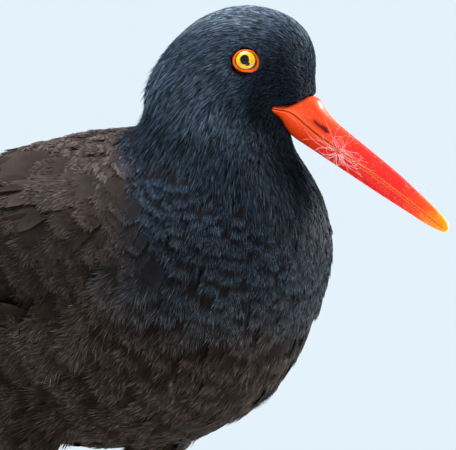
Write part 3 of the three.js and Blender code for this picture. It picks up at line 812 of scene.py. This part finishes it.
def on_wing_colour(p):
    """Brown, with painted shade darkening it towards the lower edge of the wing, under the light from above."""
    b, q = wing_zone(p)
    # painted shade on the lower part of the folded wing
    dark = ramp(6 - q, 0, 26) * ramp(b, 10, 40)
    made = mix(plumage(p), BROWN, ramp(b, -6, 12)[:, None])
    made = mix(made, BROWN_DARK * 1.4, 0.9 * dark[:, None])
    # painted shade: darker low on the wing, lighter at its top and at the wrist
    return made * mix(0.26, 0.85, np.maximum(ramp(q, 8, 28), 0.5 * ramp(14 - b, 0, 10)))[:, None]


def covert_length(p):
    return np.interp(wing_zone(p)[0], [-6, 20, 60, 100], [12, 18, 26, 30])


def even(spine):
    """True for feathers that don't bend sharply."""
    return np.sum(spine[1][:, 0] * spine[1][:, -1], 1) > 0.5


for name, side in SIDES.items():
    part = Builder()
    roots = folded.scatter(lambda p: on_wing(p) & (p[:, 1] * side > 0), lambda p: 0.4 * covert_length(p))
    size = varied(covert_length(roots), 0.1)
    spine = spines(folded, roots, size, 6, 2.6)
    roots, size, *spine = pick(even(spine) | (wing_zone(roots)[1] < 20), roots, size, *spine)
    here = on_wing_colour(roots)
    scales(part, spine, size, 0.4, here * 0.9, here * 0.95 + BROWN_EDGE * 0.09, 150, reach=0.14, blade=0.13, cup=0.6)
    roots = folded.scatter(lambda p: on_flank(p) & (p[:, 1] * side > 0), lambda p: np.full(len(p), 4.6))
    size = varied(np.full(len(roots), 17.0), 0.1)
    spine = spines(folded, roots, size, 5, 2.8, wander=0.15, tip=1.2)
    here = plumage(roots)
    scales(part, spine, size, 0.4, mix(here * 0.5, BROWN_DARK, 0.5), here * 0.85 + BROWN_EDGE * 0.05, start=0.55,
           reach=0.24, fan=0.6, lift=0.5, plain=0.3, grey=0.55)
    feathers(f"coverts_{name}", part, coat_material)


def on_rump(p):
    return (p[:, 0] > -127) & (p[:, 0] < -108) & (np.abs(p[:, 1]) < 17)


# Tail coverts, over the join of rump and tail
part = Builder()
roots = stern.scatter(on_rump, lambda p: np.full(len(p), 4.4))
size = varied(np.full(len(roots), 19.0), 0.1)
spine = spines(stern, roots, size, 6, 1.8)
here = mix(plumage(roots), BROWN * 0.6, 0.6)
here, size, *spine = pick(even(spine), here, size, *spine)
scales(part, spine, size, 0.36, here * 0.7, here, 90, fan=0.4, lift=0.45, plain=0.4, grey=0.3)
feathers("coat_tail", part, coat_material)


# Wings and tail. Rows of the wing, one each WING_STEP: y and z of its middle line, roll, bows, top and bottom
WING_STEP = 39.5
WING = np.array([
    (42, 160, 4, 0.013, 0.006, 12, 20), (51, 157, 7, 0.0135, 0.006, 32, 35), (51.5, 154.5, 11, 0.0125, 0.0065, 32, 33),
    (46, 152.5, 17, 0.012, 0.008, 26, 24), (36, 151, 27, 0.011, 0.009, 17, 14), (23.5, 150, 38, 0.009, 0.009, 12, 9.5),
    (13, 149, 48, 0.006, 0.006, 3.5, 3.5),
])
FINE = 121
WING_FINE = smooth_rows(WING, FINE)


def wing_row(b):
    last = FINE - 1
    t = np.clip(np.asarray(b, float) / WING_STEP / (len(WING) - 1) * last, 0, last)
    return [np.interp(t, np.arange(FINE), column) for column in WING_FINE.T]


def wing_point(side, b, q, h):
    """Places on a folded wing: b behind the wrist, q up it and h out of it."""
    y, z, roll, bow_up, bow_down, _, _ = wing_row(b)
    c, s = np.cos(np.radians(roll)), np.sin(np.radians(roll))
    out = h - q * q * np.where(q > 0, bow_up, bow_down)
    return np.stack([WRIST_X - b, side * (y - q * s + out * c), z + q * c + out * s], -1)


def tail_point(side, b, q, h):
    b, q, h = np.broadcast_arrays(b, q, h)
    return np.stack([-122.3 - b, side * q, 144 + h], -1)


def vane_lines(place, side, steps, count, roots, tips, start, end, height, slope, clear, power=1.0, uneven=0.8, lift=0):
    """Spines, normals and directions across for a row of vanes that lie over one another."""
    share = np.linspace(0, 1, count)
    root = mix(*roots, share)
    tip = mix(*tips, share**power) + rng.normal(0, uneven, count)
    b = root[:, None] + (tip - root)[:, None] * np.linspace(0, 1, steps)
    way = (b - start[0]) / (end[0] - start[0])
    low, high = mix(start[1], end[1], way), mix(start[2], end[2], way)
    middle = low + (high - low) * share[:, None]
    roll = clear * (count - 1) / (high - low)
    rise = height + slope * (b - tips[1])
    if lift:
        rise[-1] += lift
        roll[-1] = 0
    line = place(side, b, middle, rise)
    edge = place(side, b, middle + 0.5, rise - roll * 0.5) - place(side, b, middle - 0.5, rise + roll * 0.5)
    ahead = unit(np.gradient(line, axis=1))
    across = square(edge, ahead)
    normals = unit(np.cross(ahead, across))
    out = place(side, b, middle, rise + 1) - line
    return line, normals * np.sign(np.sum(normals * out, -1, keepdims=True)), across


# Bake cells in a row, the gap beside each and the size of one
BAKE_ROW, BAKE_GAP, BAKE_SIZE = 14, 0.006, 0.058


def vanes(builder, lines, width, tone, edge_tone, first, thick=0.35):
    """Broad feathers as thin closed vanes with a raised shaft and a slightly uneven edge, from a first bake cell."""
    line, normals, across = lines
    count, steps = line.shape[:2]
    u = np.array([-1, -0.86, -0.5, -0.07, 0, 0.07, 0.5, 0.86, 1])
    raised = np.array([-0.15, -0.05, 0.05, 0.05, 0.26, 0.05, 0.05, -0.05, -0.15]) + thick / 2
    t = np.linspace(0, 1, steps)
    tip = np.sqrt(np.clip(1 - ((t - 0.6) / 0.405) ** 2, 0.0, 1)) ** 1.35
    profile = np.where(t < 0.6, 0.6 + 0.4 * np.sin(np.minimum(t / 0.6, 1) * math.pi / 2), tip)
    half = np.maximum(profile, 0.04) * width / 2
    nick = 1 + rng.normal(0, 0.035, (count, steps, len(u))) * (np.abs(u) > 0.9)
    offset = u * half[None, :, None] * nick
    top = line[:, :, None] + across[:, :, None] * offset[..., None] + normals[:, :, None] * raised[:, None]
    under = top - normals[:, :, None] * thick
    points = np.concatenate([top, under[:, :, ::-1]], 2)
    ring = points.shape[2]
    ends = []
    for r in (0, steps - 1):
        for c in range(len(u) - 1):
            a, b = r * ring + c, r * ring + ring - 1 - c
            ends += [(a, a + 1, b - 1), (a, b - 1, b)]
    faces = np.concatenate([grid_triangles(steps, ring, closed=True), ends])
    full_u = np.concatenate([u, u[::-1]])
    rim = ramp(np.abs(full_u), 0.75, 1)[:, None] + ramp(t, 0.85, 1)[:, None, None]
    shaft = 1 - 0.35 * (np.abs(full_u) < 0.08)[:, None]
    tint = mix(tone, edge_tone, np.clip(rim, 0, 1)) * shaft * (1 + rng.normal(0, 0.06, (count, 1, 1, 1)))
    length = np.linalg.norm(line[:, -1] - line[:, 0], axis=1)[:, None, None]
    cells = np.arange(first, first + count)
    cell = np.stack([cells % BAKE_ROW, cells // BAKE_ROW], 1)[:, None, None] / BAKE_ROW + BAKE_GAP
    bake = np.stack(np.broadcast_arrays((full_u + 1) / 2, t[:, None]), -1) * BAKE_SIZE
    builder.add(points, copies(count, steps * ring, faces), colour=tint * mix(0.8, 1.0, ramp(t, 0, 0.5))[:, None, None],
                vane=np.stack(np.broadcast_arrays(full_u * width / 2, t[:, None] * length), -1), uv=cell + bake)


def vane_rows(builder, place, rows, tone, edge_tone, **shared):
    first = 0
    for row in rows:
        width, row = row["width"], {**shared, **row}
        del row["width"]
        vanes(builder, vane_lines(place, **row), width, tone, edge_tone, first)
        first += row["count"]


WING_ROWS = [
    dict(count=6, roots=(128, 138), tips=(237, 200), power=1.2, width=10.5, start=(130, -9, 7), end=(237, -6.5, 6.5),
         height=1.0, clear=0.9),
    dict(count=10, roots=(76, 84), tips=(130, 173), power=0.6, width=11.5, start=(60, -29, 23), end=(165, -10, 11),
         height=2.6, clear=0.95),
    dict(count=11, roots=(28, 36), tips=(90, 118), power=0.6, width=11, start=(40, -29, 21), end=(112, -20, 15),
         height=2.6, clear=0.9),
]


def make_core(builder, rings):
    """A plain inner body, closed at both ends, near black as painted shade where it shows between the vanes."""
    builder.add(rings, capped(*rings.shape[:2]), colour=BROWN_DARK * 0.5, vane=[0.0, 0.0], uv=[0.001, 0.001])


def wing_core(side, sides=14, end=170):
    rings = []
    for b in np.linspace(0, end, 14):
        *_, top, bottom = wing_row(b)
        angle = (np.arange(sides) + 0.5) * math.pi / 7
        q = np.cos(angle) * 0.84 * np.where(np.cos(angle) > 0, top, bottom)
        lift = np.abs(np.sin(angle)) ** 0.6 * min(1, 0.3 + 3 * (1 - b / end))
        height = -3.6 + np.where(np.sin(angle) > 0, 1.7 * lift, -8 * lift)
        rings.append(wing_point(side, np.full(sides, b), q, height))
    return np.array(rings)


for name, side in SIDES.items():
    wing = Builder()
    make_core(wing, wing_core(side))
    vane_rows(wing, wing_point, WING_ROWS, BROWN * 0.35, BROWN_EDGE * 0.25, side=side, steps=14, slope=0.078)
    feathers(f"vanes_wing_{name}", wing, vane_material, [f"wing_{name}"])

# Rings of x, top, bottom and half width inside the tail
TAIL_CORE = [(-116, 155, 131, 13.5), (-131, 151, 131, 14.5), (-141, 146.5, 135, 13), (-151, 142.8, 138.6, 10)]
TAIL_ROWS = [
    dict(count=6, roots=(8, 12), tips=(62, 68), width=11.5, start=(10, 12.5, 3.2), end=(68, 25.5, 4.2), height=-11.5),
    dict(count=4, roots=(2, 4), tips=(32, 40), width=10, start=(4, 9, 0), end=(42, 15, 0), height=-3.0),
    dict(count=4, roots=(2, 4), tips=(36, 44), width=10, start=(4, 9, 0), end=(42, 15, 0), height=-12.7),
]
rings = []
angle = np.arange(16) * math.pi / 8
for x, top, bottom, half in smooth_rows(TAIL_CORE, 7):
    height = (top + bottom) / 2 + np.cos(angle) * (top - bottom) * 0.46
    rings.append(np.stack([x + 0 * angle, half * np.sin(angle) * 0.93, height], -1))
tail = Builder()
make_core(tail, np.array(rings))
# the innermost vanes on the left lie over those on the right
both = [dict(row, side=side, lift=1.8 if side > 0 else 0) for row in TAIL_ROWS for side in (1.0, -1.0)]
vane_rows(tail, tail_point, both, BROWN * 0.5, BROWN_EDGE * 0.5, steps=12, slope=-0.19, uneven=0.4, clear=1.0)
feathers("vanes_tail", tail, vane_material, ["tail"])


# Bill: rows of s, h of the culmen, mouth line and lower edge, half width
BILL = np.array([
    (-7, -12.3, -15.2, -18.1, 13.1), (-4, -9.5, -13, -17, 11.9), (-1.4, -2.6, -11.6, -17.6, 9.9),
    (2, -0.7, -11.2, -18.3, 7.7), (6, -1.8, -11, -18.2, 6.6), (12, -2.3, -10.4, -16.9, 5.8), (20, -1.6, -9, -15.2, 5),
    (32, -0.2, -7, -12.6, 4.2), (45, 1.1, -4.8, -9.8, 3.5), (57, 1.7, -3, -7, 2.9), (66, 1.9, -1.9, -4.9, 2.3),
    (71, 1.6, -1.2, -3.2, 1.7), (73.3, 0.2, -0.8, -2.1, 1.1),
])
# Half sections from the mouth line out, as shares of the half width and of the depth
BILL_UPPER = np.array([
    (0, 0), (0.9, 0), (0.985, 0.03), (1, 0.14), (0.93, 0.36), (0.84, 0.55), (0.72, 0.74), (0.5, 0.9), (0.26, 0.98),
    (0, 1),
])
BILL_LOWER = np.array([
    (0, 0), (0.84, 0), (0.93, 0.04), (0.95, 0.2), (0.87, 0.42), (0.76, 0.62), (0.6, 0.8), (0.4, 0.93), (0.2, 0.985),
    (0, 1),
])
BILL_COLOURS = [
    (0.0, (255, 76, 16)), (0.16, (254, 60, 12)), (0.36, (240, 36, 24)), (0.68, (238, 32, 26)), (0.84, (252, 84, 4)),
    (0.94, (255, 150, 0)), (1.0, (255, 176, 0)),
]


def bill_material():
    made, tree, shader = material("bill_horn", 0.42, Specular_IOR_Level=0.25, Subsurface_Weight=0.05,
                                  Subsurface_Radius=(0.004, 0.0012, 0.0006), Subsurface_Scale=0.5)
    wobble = ranged(tree, noise(tree, 220, 3), 0.3, 0.7, -3.0, 3.0)
    along = ranged(tree, maths(tree, "ADD", attribute(tree, "along"), wobble), 0, 75, 0, 1)
    stops = node(tree, "ShaderNodeValToRGB", {0: along})
    elements = stops.color_ramp.elements
    for k, (place, numbers) in enumerate(BILL_COLOURS):
        element = elements[k] if k < 2 else elements.new(place)
        element.position = place
        element.color = (*colour(*numbers), 1)
    edge = ranged(tree, attribute(tree, "edge"), 0.2, 0.02, 0, 0.7)
    base = blend(tree, stops.outputs[0], colour(255, 120, 60), edge)
    specks = texture(tree, "ShaderNodeTexVoronoi", {"Scale": 650.0, "Randomness": 1.0}, "Distance")
    base = blend(tree, base, colour(255, 170, 140), ranged(tree, specks, 0.2, 0.1, 0, 0.4))
    # painted shade: the hollow of the nostril dark red-brown
    base = blend(tree, base, colour(70, 6, 3), attribute(tree, "nostril"))
    return finished(made, tree, shader, base, noise(tree, 900, 5), 0.25, 0.0002)


def mandible(name, column, half, material_here):
    """One half of the bill, from the mouth line to the height in a column of BILL."""
    rows = smooth_rows(BILL, 220)
    around = np.concatenate([half * [-1, 1], half[1:-1][::-1]])
    fine = np.stack([around, (around + np.roll(around, -1, 0)) / 2], 1).reshape(-1, 2)
    upper = column == 1
    start = rows[:, 2] + (1 if upper else -1) * mix(0.14, 0.03, ramp(rows[:, 0], 10, 30))
    s = np.repeat(rows[:, 0][:, None], len(fine), 1)
    h = start[:, None] + (rows[:, column] - start)[:, None] * fine[None, :, 1]
    y = rows[:, 4][:, None] * fine[None, :, 0]
    hollow = np.zeros_like(s)
    if upper:
        # the nostril, and the groove that it lies in
        tilt = math.radians(8)
        ds, dh = s - 10.4, h + 7.4
        a = (ds * math.cos(tilt) - dh * math.sin(tilt)) / 4.8
        b = (dh * math.cos(tilt) - ds * math.sin(tilt)) / 0.72
        sides = np.abs(fine[:, 0])[None, :] > 0.45
        hollow = np.where(sides, 1 - ramp(np.sqrt(a * a + b * b), 0.65, 1.1), 0)
        groove = np.where(sides, 1 - ramp(np.abs(dh - 0.17 * ds) / 1.6, 0.2, 1), 0)
        groove = groove * (1 - ramp(s, 22, 36)) * ramp(s, 0, 5)
        y = y * (1 - 0.28 * hollow - 0.07 * groove)
    edge = np.repeat(np.abs(fine[None, :, 1]), len(rows), 0)
    shape = bill_point(s, h, y), capped(*s.shape, flipped=True)
    piece(name, shape, material_here, [name], values={"along": s, "edge": edge, "nostril": hollow})


horn = bill_material()
mandible("upper_mandible", 1, BILL_UPPER, horn)
mandible("lower_mandible", 3, BILL_LOWER, horn)


# Eyes: a ball with iris and pupil, and the bare ring round it
def eye_place(side, x, y, z):
    """Places in an eye: x forwards, y up and z out of it."""
    middle = turned([NECK_X + EYE["forward"], side * EYE["side"], EYE["height"]])
    out = unit(turned([0.14, side * 0.97, 0.17], centre=0.0))
    forward = turned([1, 0, 0], centre=0.0)
    up = unit(np.cross(out, forward)) * -side
    ahead = np.cross(up, out) * -side
    return middle + x[..., None] * ahead + y[..., None] * up + z[..., None] * out


def eye_material():
    made, tree, shader = material("iris", 0.25, Coat_Weight=0.35, Coat_Roughness=0.04, Specular_IOR_Level=0.3)
    radius, pupil, fleck, rays = (attribute(tree, key) for key in ("radius", "pupil", "fleck", "ray"))
    place = node(tree, "ShaderNodeCombineXYZ", {0: rays, 1: radius}).outputs[0]
    inputs = {"Vector": place, "Scale": 1.0, "Detail": 4.0}
    streaks = node(tree, "ShaderNodeTexNoise", inputs, noise_dimensions="2D").outputs["Fac"]
    iris = blend(tree, colour(250, 190, 2), colour(255, 196, 6), ranged(tree, radius, 1.9, 3.3, 0, 1))
    iris = shade(tree, iris, ranged(tree, streaks, 0.3, 0.7, 0.7, 1.2))
    iris = blend(tree, iris, colour(40, 10, 0), ranged(tree, radius, 3.55, 3.85, 0, 1))
    for dark in (ranged(tree, pupil, 1.88, 1.74, 0, 1), fleck):
        iris = blend(tree, iris, (0.001, 0.001, 0.001), dark)
    return finished(made, tree, shader, iris)


def lid_material():
    made, tree, shader = material("orbital_ring", 0.5, Specular_IOR_Level=0.15, Subsurface_Weight=0.05,
                                  Subsurface_Radius=(0.002, 0.0006, 0.0003), Subsurface_Scale=0.5, Coat_Weight=0.05)
    mottle = ranged(tree, noise(tree, 900, 4), 0.35, 0.65, 0, 1)
    base = blend(tree, colour(255, 78, 0), colour(255, 118, 0), mottle)
    base = blend(tree, base, colour(60, 8, 2), attribute(tree, "rim"))
    return finished(made, tree, shader, base, noise(tree, 1500, 4), 0.5, 0.0003)


iris_material, ring_material = eye_material(), lid_material()
AROUND, SECTION = 120, 16
for name, side in SIDES.items():
    polar = np.concatenate([np.linspace(0.02, 0.8, 60), np.linspace(0.86, math.pi - 0.05, 26)])
    a, t = np.meshgrid(polar, circle(72), indexing="ij")
    radius = EYE["radius"] * (1 + 0.02 * (1 - ramp(a, 0.3, 0.75)))
    x, y = np.sin(a) * np.cos(t) * radius, np.sin(a) * np.sin(t) * radius
    fleck = 1 - ramp(np.hypot((x - 0.75) / 1.05, (y + 1.6) / 0.8), 0.8, 1.1)
    values = {"radius": np.hypot(x, y / 0.93) + np.where(a > 1.5, 9, 0), "pupil": np.hypot(x + 0.35, (y - 0.05) * 0.92),
              "fleck": fleck * (a < 1), "ray": t * 9}
    shape = eye_place(side, x, y, np.cos(a) * radius), capped(*a.shape)
    piece(f"eye_{name}", shape, iris_material, [f"eye_{name}"], values=values)
    # the ring, a little flattened, with a corner low at the front
    around = circle(AROUND)
    section = circle(SECTION)
    corner = np.maximum(0, np.cos(around + 0.6)) ** 7
    wrinkle = 1 + 0.05 * np.sin(around * 23) + 0.04 * np.sin(around * 37 + 1)
    flat = np.hypot(np.cos(around), 0.88 * np.sin(around))
    inner, outer = (4.0 + 0.5 * corner) * flat, (5.1 + 1.3 * corner) * flat
    r = ((inner + outer) / 2)[:, None] + ((outer - inner) / 2)[:, None] * np.cos(section)
    level = np.sqrt(EYE["radius"] ** 2 - np.minimum(r, 4.8) ** 2) - 0.2 - 0.3 * np.maximum(r - 4.8, 0)
    raised = level + (0.5 * wrinkle[:, None]) * np.maximum(np.sin(section), -0.8)
    points = eye_place(side, r * np.cos(around)[:, None], r * np.sin(around)[:, None], raised)
    triangles = grid_triangles(AROUND + 1, SECTION, closed=True) % (AROUND * SECTION)
    rim = 1 - ramp(r, inner[:, None], inner[:, None] + 0.35)
    piece(f"eyelid_{name}", (points, triangles), ring_material, [f"eyelid_{name}"], values={"rim": rim})


# Legs and feet. Rows of x, outward place, height and two radii down the shank, and of place, radius and lift on a toe
LEG_SIDE = 22.0
STRIDE = {"right": -14.7, "left": 14.7}
SHANK = [
    (-5.4, 1, 68, 4, 3.4), (-5.7, 1, 63, 3.4, 3), (-7.6, 1, 59.5, 3.6, 3.3), (-9, 1, 55.8, 4.9, 4.1),
    (-8.8, 1, 51.5, 4.8, 4), (-8, 1.2, 46, 3.5, 2.9), (-7.4, 1.4, 38, 3.1, 2.5), (-7, 1.6, 29.5, 3.1, 2.5),
    (-6.6, 1.8, 21, 3.1, 2.6), (-6.4, 2, 15, 3.3, 2.8), (-6.5, 2, 9.3, 4, 3.6), (-5.6, 2, 5, 4.7, 4.3),
    (-5.3, 2, 1.2, 4.6, 4.2), (-5.3, 2, 0.06, 3.6, 3.3),
]
TOE_ROOT = (-5.5, 2.0)
TOES = {"inner": (25, 26), "middle": (33, -3), "outer": (28, -29)}
TOE_SHAPE = [
    (0, 3.9, 0), (0.16, 3.6, 0), (0.34, 2.9, 0), (0.44, 3.2, 0), (0.6, 2.6, 0), (0.7, 2.8, 0), (0.86, 2.2, 0),
    (1, 2.1, 0),
]
CLAW_SHAPE = [(0, 1.85, 0.25), (0.3, 1.6, 0.35), (0.6, 1.15, 0.3), (0.85, 0.7, 0.1), (1, 0.3, -0.02)]
CLAW = 6.5


def leg_material():
    made, tree, shader = material("leg_skin", 0.55, Subsurface_Weight=0.1, Subsurface_Radius=(0.003, 0.0015, 0.001),
                                  Subsurface_Scale=0.4)
    cracks = texture(tree, "ShaderNodeTexVoronoi", {"Scale": 520.0}, "Distance", feature="DISTANCE_TO_EDGE")
    plates = maths(tree, "MULTIPLY", ranged(tree, cracks, 0.02, 0.12, 0, 1), attribute(tree, "scute"))
    base = blend(tree, colour(176, 126, 116), colour(226, 186, 174), plates)
    base = shade(tree, base, ranged(tree, noise(tree, 120, 4), 0.3, 0.7, 0.85, 1.12))
    return finished(made, tree, shader, base, plates, 0.5, 0.0004)


def claw_material():
    made, tree, shader = material("claw_horn", 0.4, Coat_Weight=0.2)
    base = blend(tree, colour(34, 27, 24), colour(92, 74, 64), ranged(tree, noise(tree, 500, 3), 0.35, 0.75, 0, 1))
    return finished(made, tree, shader, base, noise(tree, 1800, 3), 0.3, 0.0002)


skin_of_leg, horn_of_claw = leg_material(), claw_material()


def leg_place(name, x, out, z):
    x, out, z = np.broadcast_arrays(x, out, z)
    return np.stack([STRIDE[name] + x, SIDES[name] * (LEG_SIDE + out), z], -1)


def toe_place(toe, along, across=0.0):
    turn = math.radians(TOES[toe][1])
    c, s = math.cos(turn), math.sin(turn)
    return TOE_ROOT[0] + along * c + across * s, TOE_ROOT[1] - along * s + across * c


def toe_rings(name, toe, begin, finish, shape, rows, sides):
    """Rings along a toe, the distance along it of each, and the angles round them."""
    place, radius, lift = smooth_rows(shape, rows).T[..., None]
    along = (begin + (finish - begin) * place) * TOES[toe][0]
    angle = circle(sides)
    z = np.maximum(radius * 0.82 + lift + radius * np.sin(angle), 0.02)
    return leg_place(name, *toe_place(toe, along, radius * np.cos(angle)), z), along, angle


def scutes(along, pitch, facing):
    """The horny plates on the front or top of a leg: their ridges, and their colour."""
    plate = np.abs((along / pitch) % 1.0 - 0.5) * 2
    face = np.maximum(facing, 0) ** 0.5
    return ramp(plate, 0, 0.4) * face, mix(1.0, ramp(plate, 0, 0.35), face)


for name in SIDES:
    x, out, z, deep, wide = smooth_rows(SHANK, 150).T[..., None]
    angle = circle(28)
    ridge, scute = scutes(z, 2.6, np.cos(angle))
    swell = 1 + 0.035 * ridge
    rings = leg_place(name, x + deep * np.cos(angle) * swell, out + wide * np.sin(angle) * swell, z)
    shape = rings, capped(*rings.shape[:2], flipped=True)
    piece(f"shank_{name}", shape, skin_of_leg, [f"shank_{name}"], values={"scute": scute})
    foot = Builder()
    for toe, (toe_length, _) in TOES.items():
        rings, along, angle = toe_rings(name, toe, 0, 1, TOE_SHAPE, 70, 22)
        ridge, scute = scutes(along, 2.1, np.sin(angle))
        rings[..., 2] += 0.12 * ridge
        foot.add(rings, capped(*rings.shape[:2], flipped=True), scute=scute[..., None])
        rings, _, _ = toe_rings(name, toe, 0.985, 1 + CLAW / toe_length, CLAW_SHAPE, 26, 16)
        shape = rings, capped(*rings.shape[:2], flipped=True)
        piece(f"claw_{name}_{toe}", shape, horn_of_claw, [f"claw_{name}_{toe}"])
    # web between the middle and outer toes
    t = np.linspace(0, 1, 16)
    web = []
    for share in np.linspace(0, 1, 12):
        reach = 0.42 - 0.09 * math.sin(math.pi * share)
        first, second = (toe_place(toe, reach * TOES[toe][0]) for toe in ("middle", "outer"))
        tip = [mix(a, b, share) for a, b in zip(first, second)]
        height = 1.5 + 0.3 * np.sin(math.pi * t)
        web.append(leg_place(name, mix(TOE_ROOT[0], tip[0], t), mix(TOE_ROOT[1], tip[1], t), height))
    upper = np.array(web)
    lower = upper * [1, 1, 0] + [0, 0, 0.1]
    foot.add(np.concatenate([upper, lower[:, ::-1]], 1), grid_triangles(12, 32, closed=True), scute=[1.0])
    piece(f"foot_{name}", foot.mesh(), skin_of_leg, [f"foot_{name}"], values={"scute": foot.get("scute")})


# White down that clings to the bill: a wisp at the mouth line and a tuft near the tip
def down(builder, root, count, length, curl):
    """Thin ribbons from one root on the right of the bill, in s, h and y."""
    steps = 9
    t = np.linspace(0, 1, steps)
    turn = rng.uniform(0, 2 * math.pi, count)
    bend = rng.normal(0, curl, count)
    run = length * rng.uniform(0.35, 1, count)
    angle = turn[:, None] + bend[:, None] * t
    step = run[:, None] / (steps - 1)
    s = root[0] + np.cumsum(np.cos(angle) * step, 1) * 1.3
    h = root[1] + np.cumsum(np.sin(angle) * step, 1)
    y = root[2] - rng.uniform(0.1, 0.45, count)[:, None] * run[:, None] * np.sin(t * 2.2)
    side = np.stack([-np.sin(angle), np.cos(angle)], -1) * 0.026
    s, h = (np.stack([a - side[..., k], a + side[..., k]], -1) for k, a in enumerate((s, h)))
    builder.add(bill_point(s, h, y[..., None]), copies(count, steps * 2, grid_triangles(steps, 2)))


wisp = Builder()
down(wisp, (22.0, -9.4, -4.9), 54, 11.5, 1.9)
down(wisp, (54.0, 2.0, -0.6), 22, 4.4, 1.6)
made, tree, shader = material("down", 0.7, Specular_IOR_Level=0.1)
fluff = finished(made, tree, shader, blend(tree, colour(225, 225, 228), colour(250, 250, 252), noise(tree, 400)))
piece("down", wisp.mesh(), fluff)


def aim(made, place, target):
    made.location = Vector(place)
    made.rotation_euler = (Vector(target) - made.location).to_track_quat("-Z", "Y").to_euler()


# Camera, at the photograph's angle
VIEW = math.radians(33)
TARGET = Vector(metres([44.95, 29.2, 164.5]))
DISTANCE = 7.0
SENSOR, FRAME_WIDTH = 36, 177.8
camera_data = bpy.data.cameras.new("camera")
camera_data.lens = SENSOR * DISTANCE * 1000 / FRAME_WIDTH
camera_data.clip_end = 50
camera = placed("camera", camera_data)
aim(camera, TARGET + Vector((math.sin(VIEW), -math.cos(VIEW), 0)) * DISTANCE, TARGET)
bpy.context.scene.camera = camera

# Floor, sky light and lamps
FLOOR_RADIUS = 1.3
floor_mesh = bpy.data.meshes.new("floor")
rim = [(FLOOR_RADIUS * math.cos(t), FLOOR_RADIUS * math.sin(t), 0) for t in circle(64)]
floor_mesh.from_pydata(rim, [], [tuple(range(len(rim)))])
floor_mesh.materials.append(finished(*material("floor", 0.8), (0.6, 0.62, 0.64, 1)))
floor = placed("floor", floor_mesh)

world = bpy.data.worlds.new("sky")
world.use_nodes = True
sky = world.node_tree
direction = node(sky, "ShaderNodeTexCoord").outputs["Generated"]
height = node(sky, "ShaderNodeSeparateXYZ", {0: direction}).outputs["Z"]
over, below = (ranged(sky, height, *numbers) for numbers in ((0.05, 0.25, 1.0, 0.45), (-0.2, -0.04, 0.12, 1.0)))
strength = maths(sky, "MULTIPLY", over, below)
feed(sky, sky.nodes["Background"], {"Color": (*colour(228, 242, 251), 1), "Strength": strength})
bpy.context.scene.world = world


def lamp(name, place, target, size, power):
    data = bpy.data.lights.new(name, "AREA")
    data.shape = "DISK"
    data.size = size
    data.energy = power
    data.color = (0.97, 0.985, 1.0)
    aim(placed(name, data), place, target)


lamp("over", (-0.15, -0.25, 1.7), (0.0, 0, 0.15), 1.0, 44)
lamp("front", (1.6, -0.9, 1.1), (0.05, 0, 0.15), 0.8, 5)
lamp("edge", (1.0, 1.6, 0.8), (0.05, 0, 0.15), 0.7, 130)
bpy.context.scene.view_settings.view_transform = "Standard"
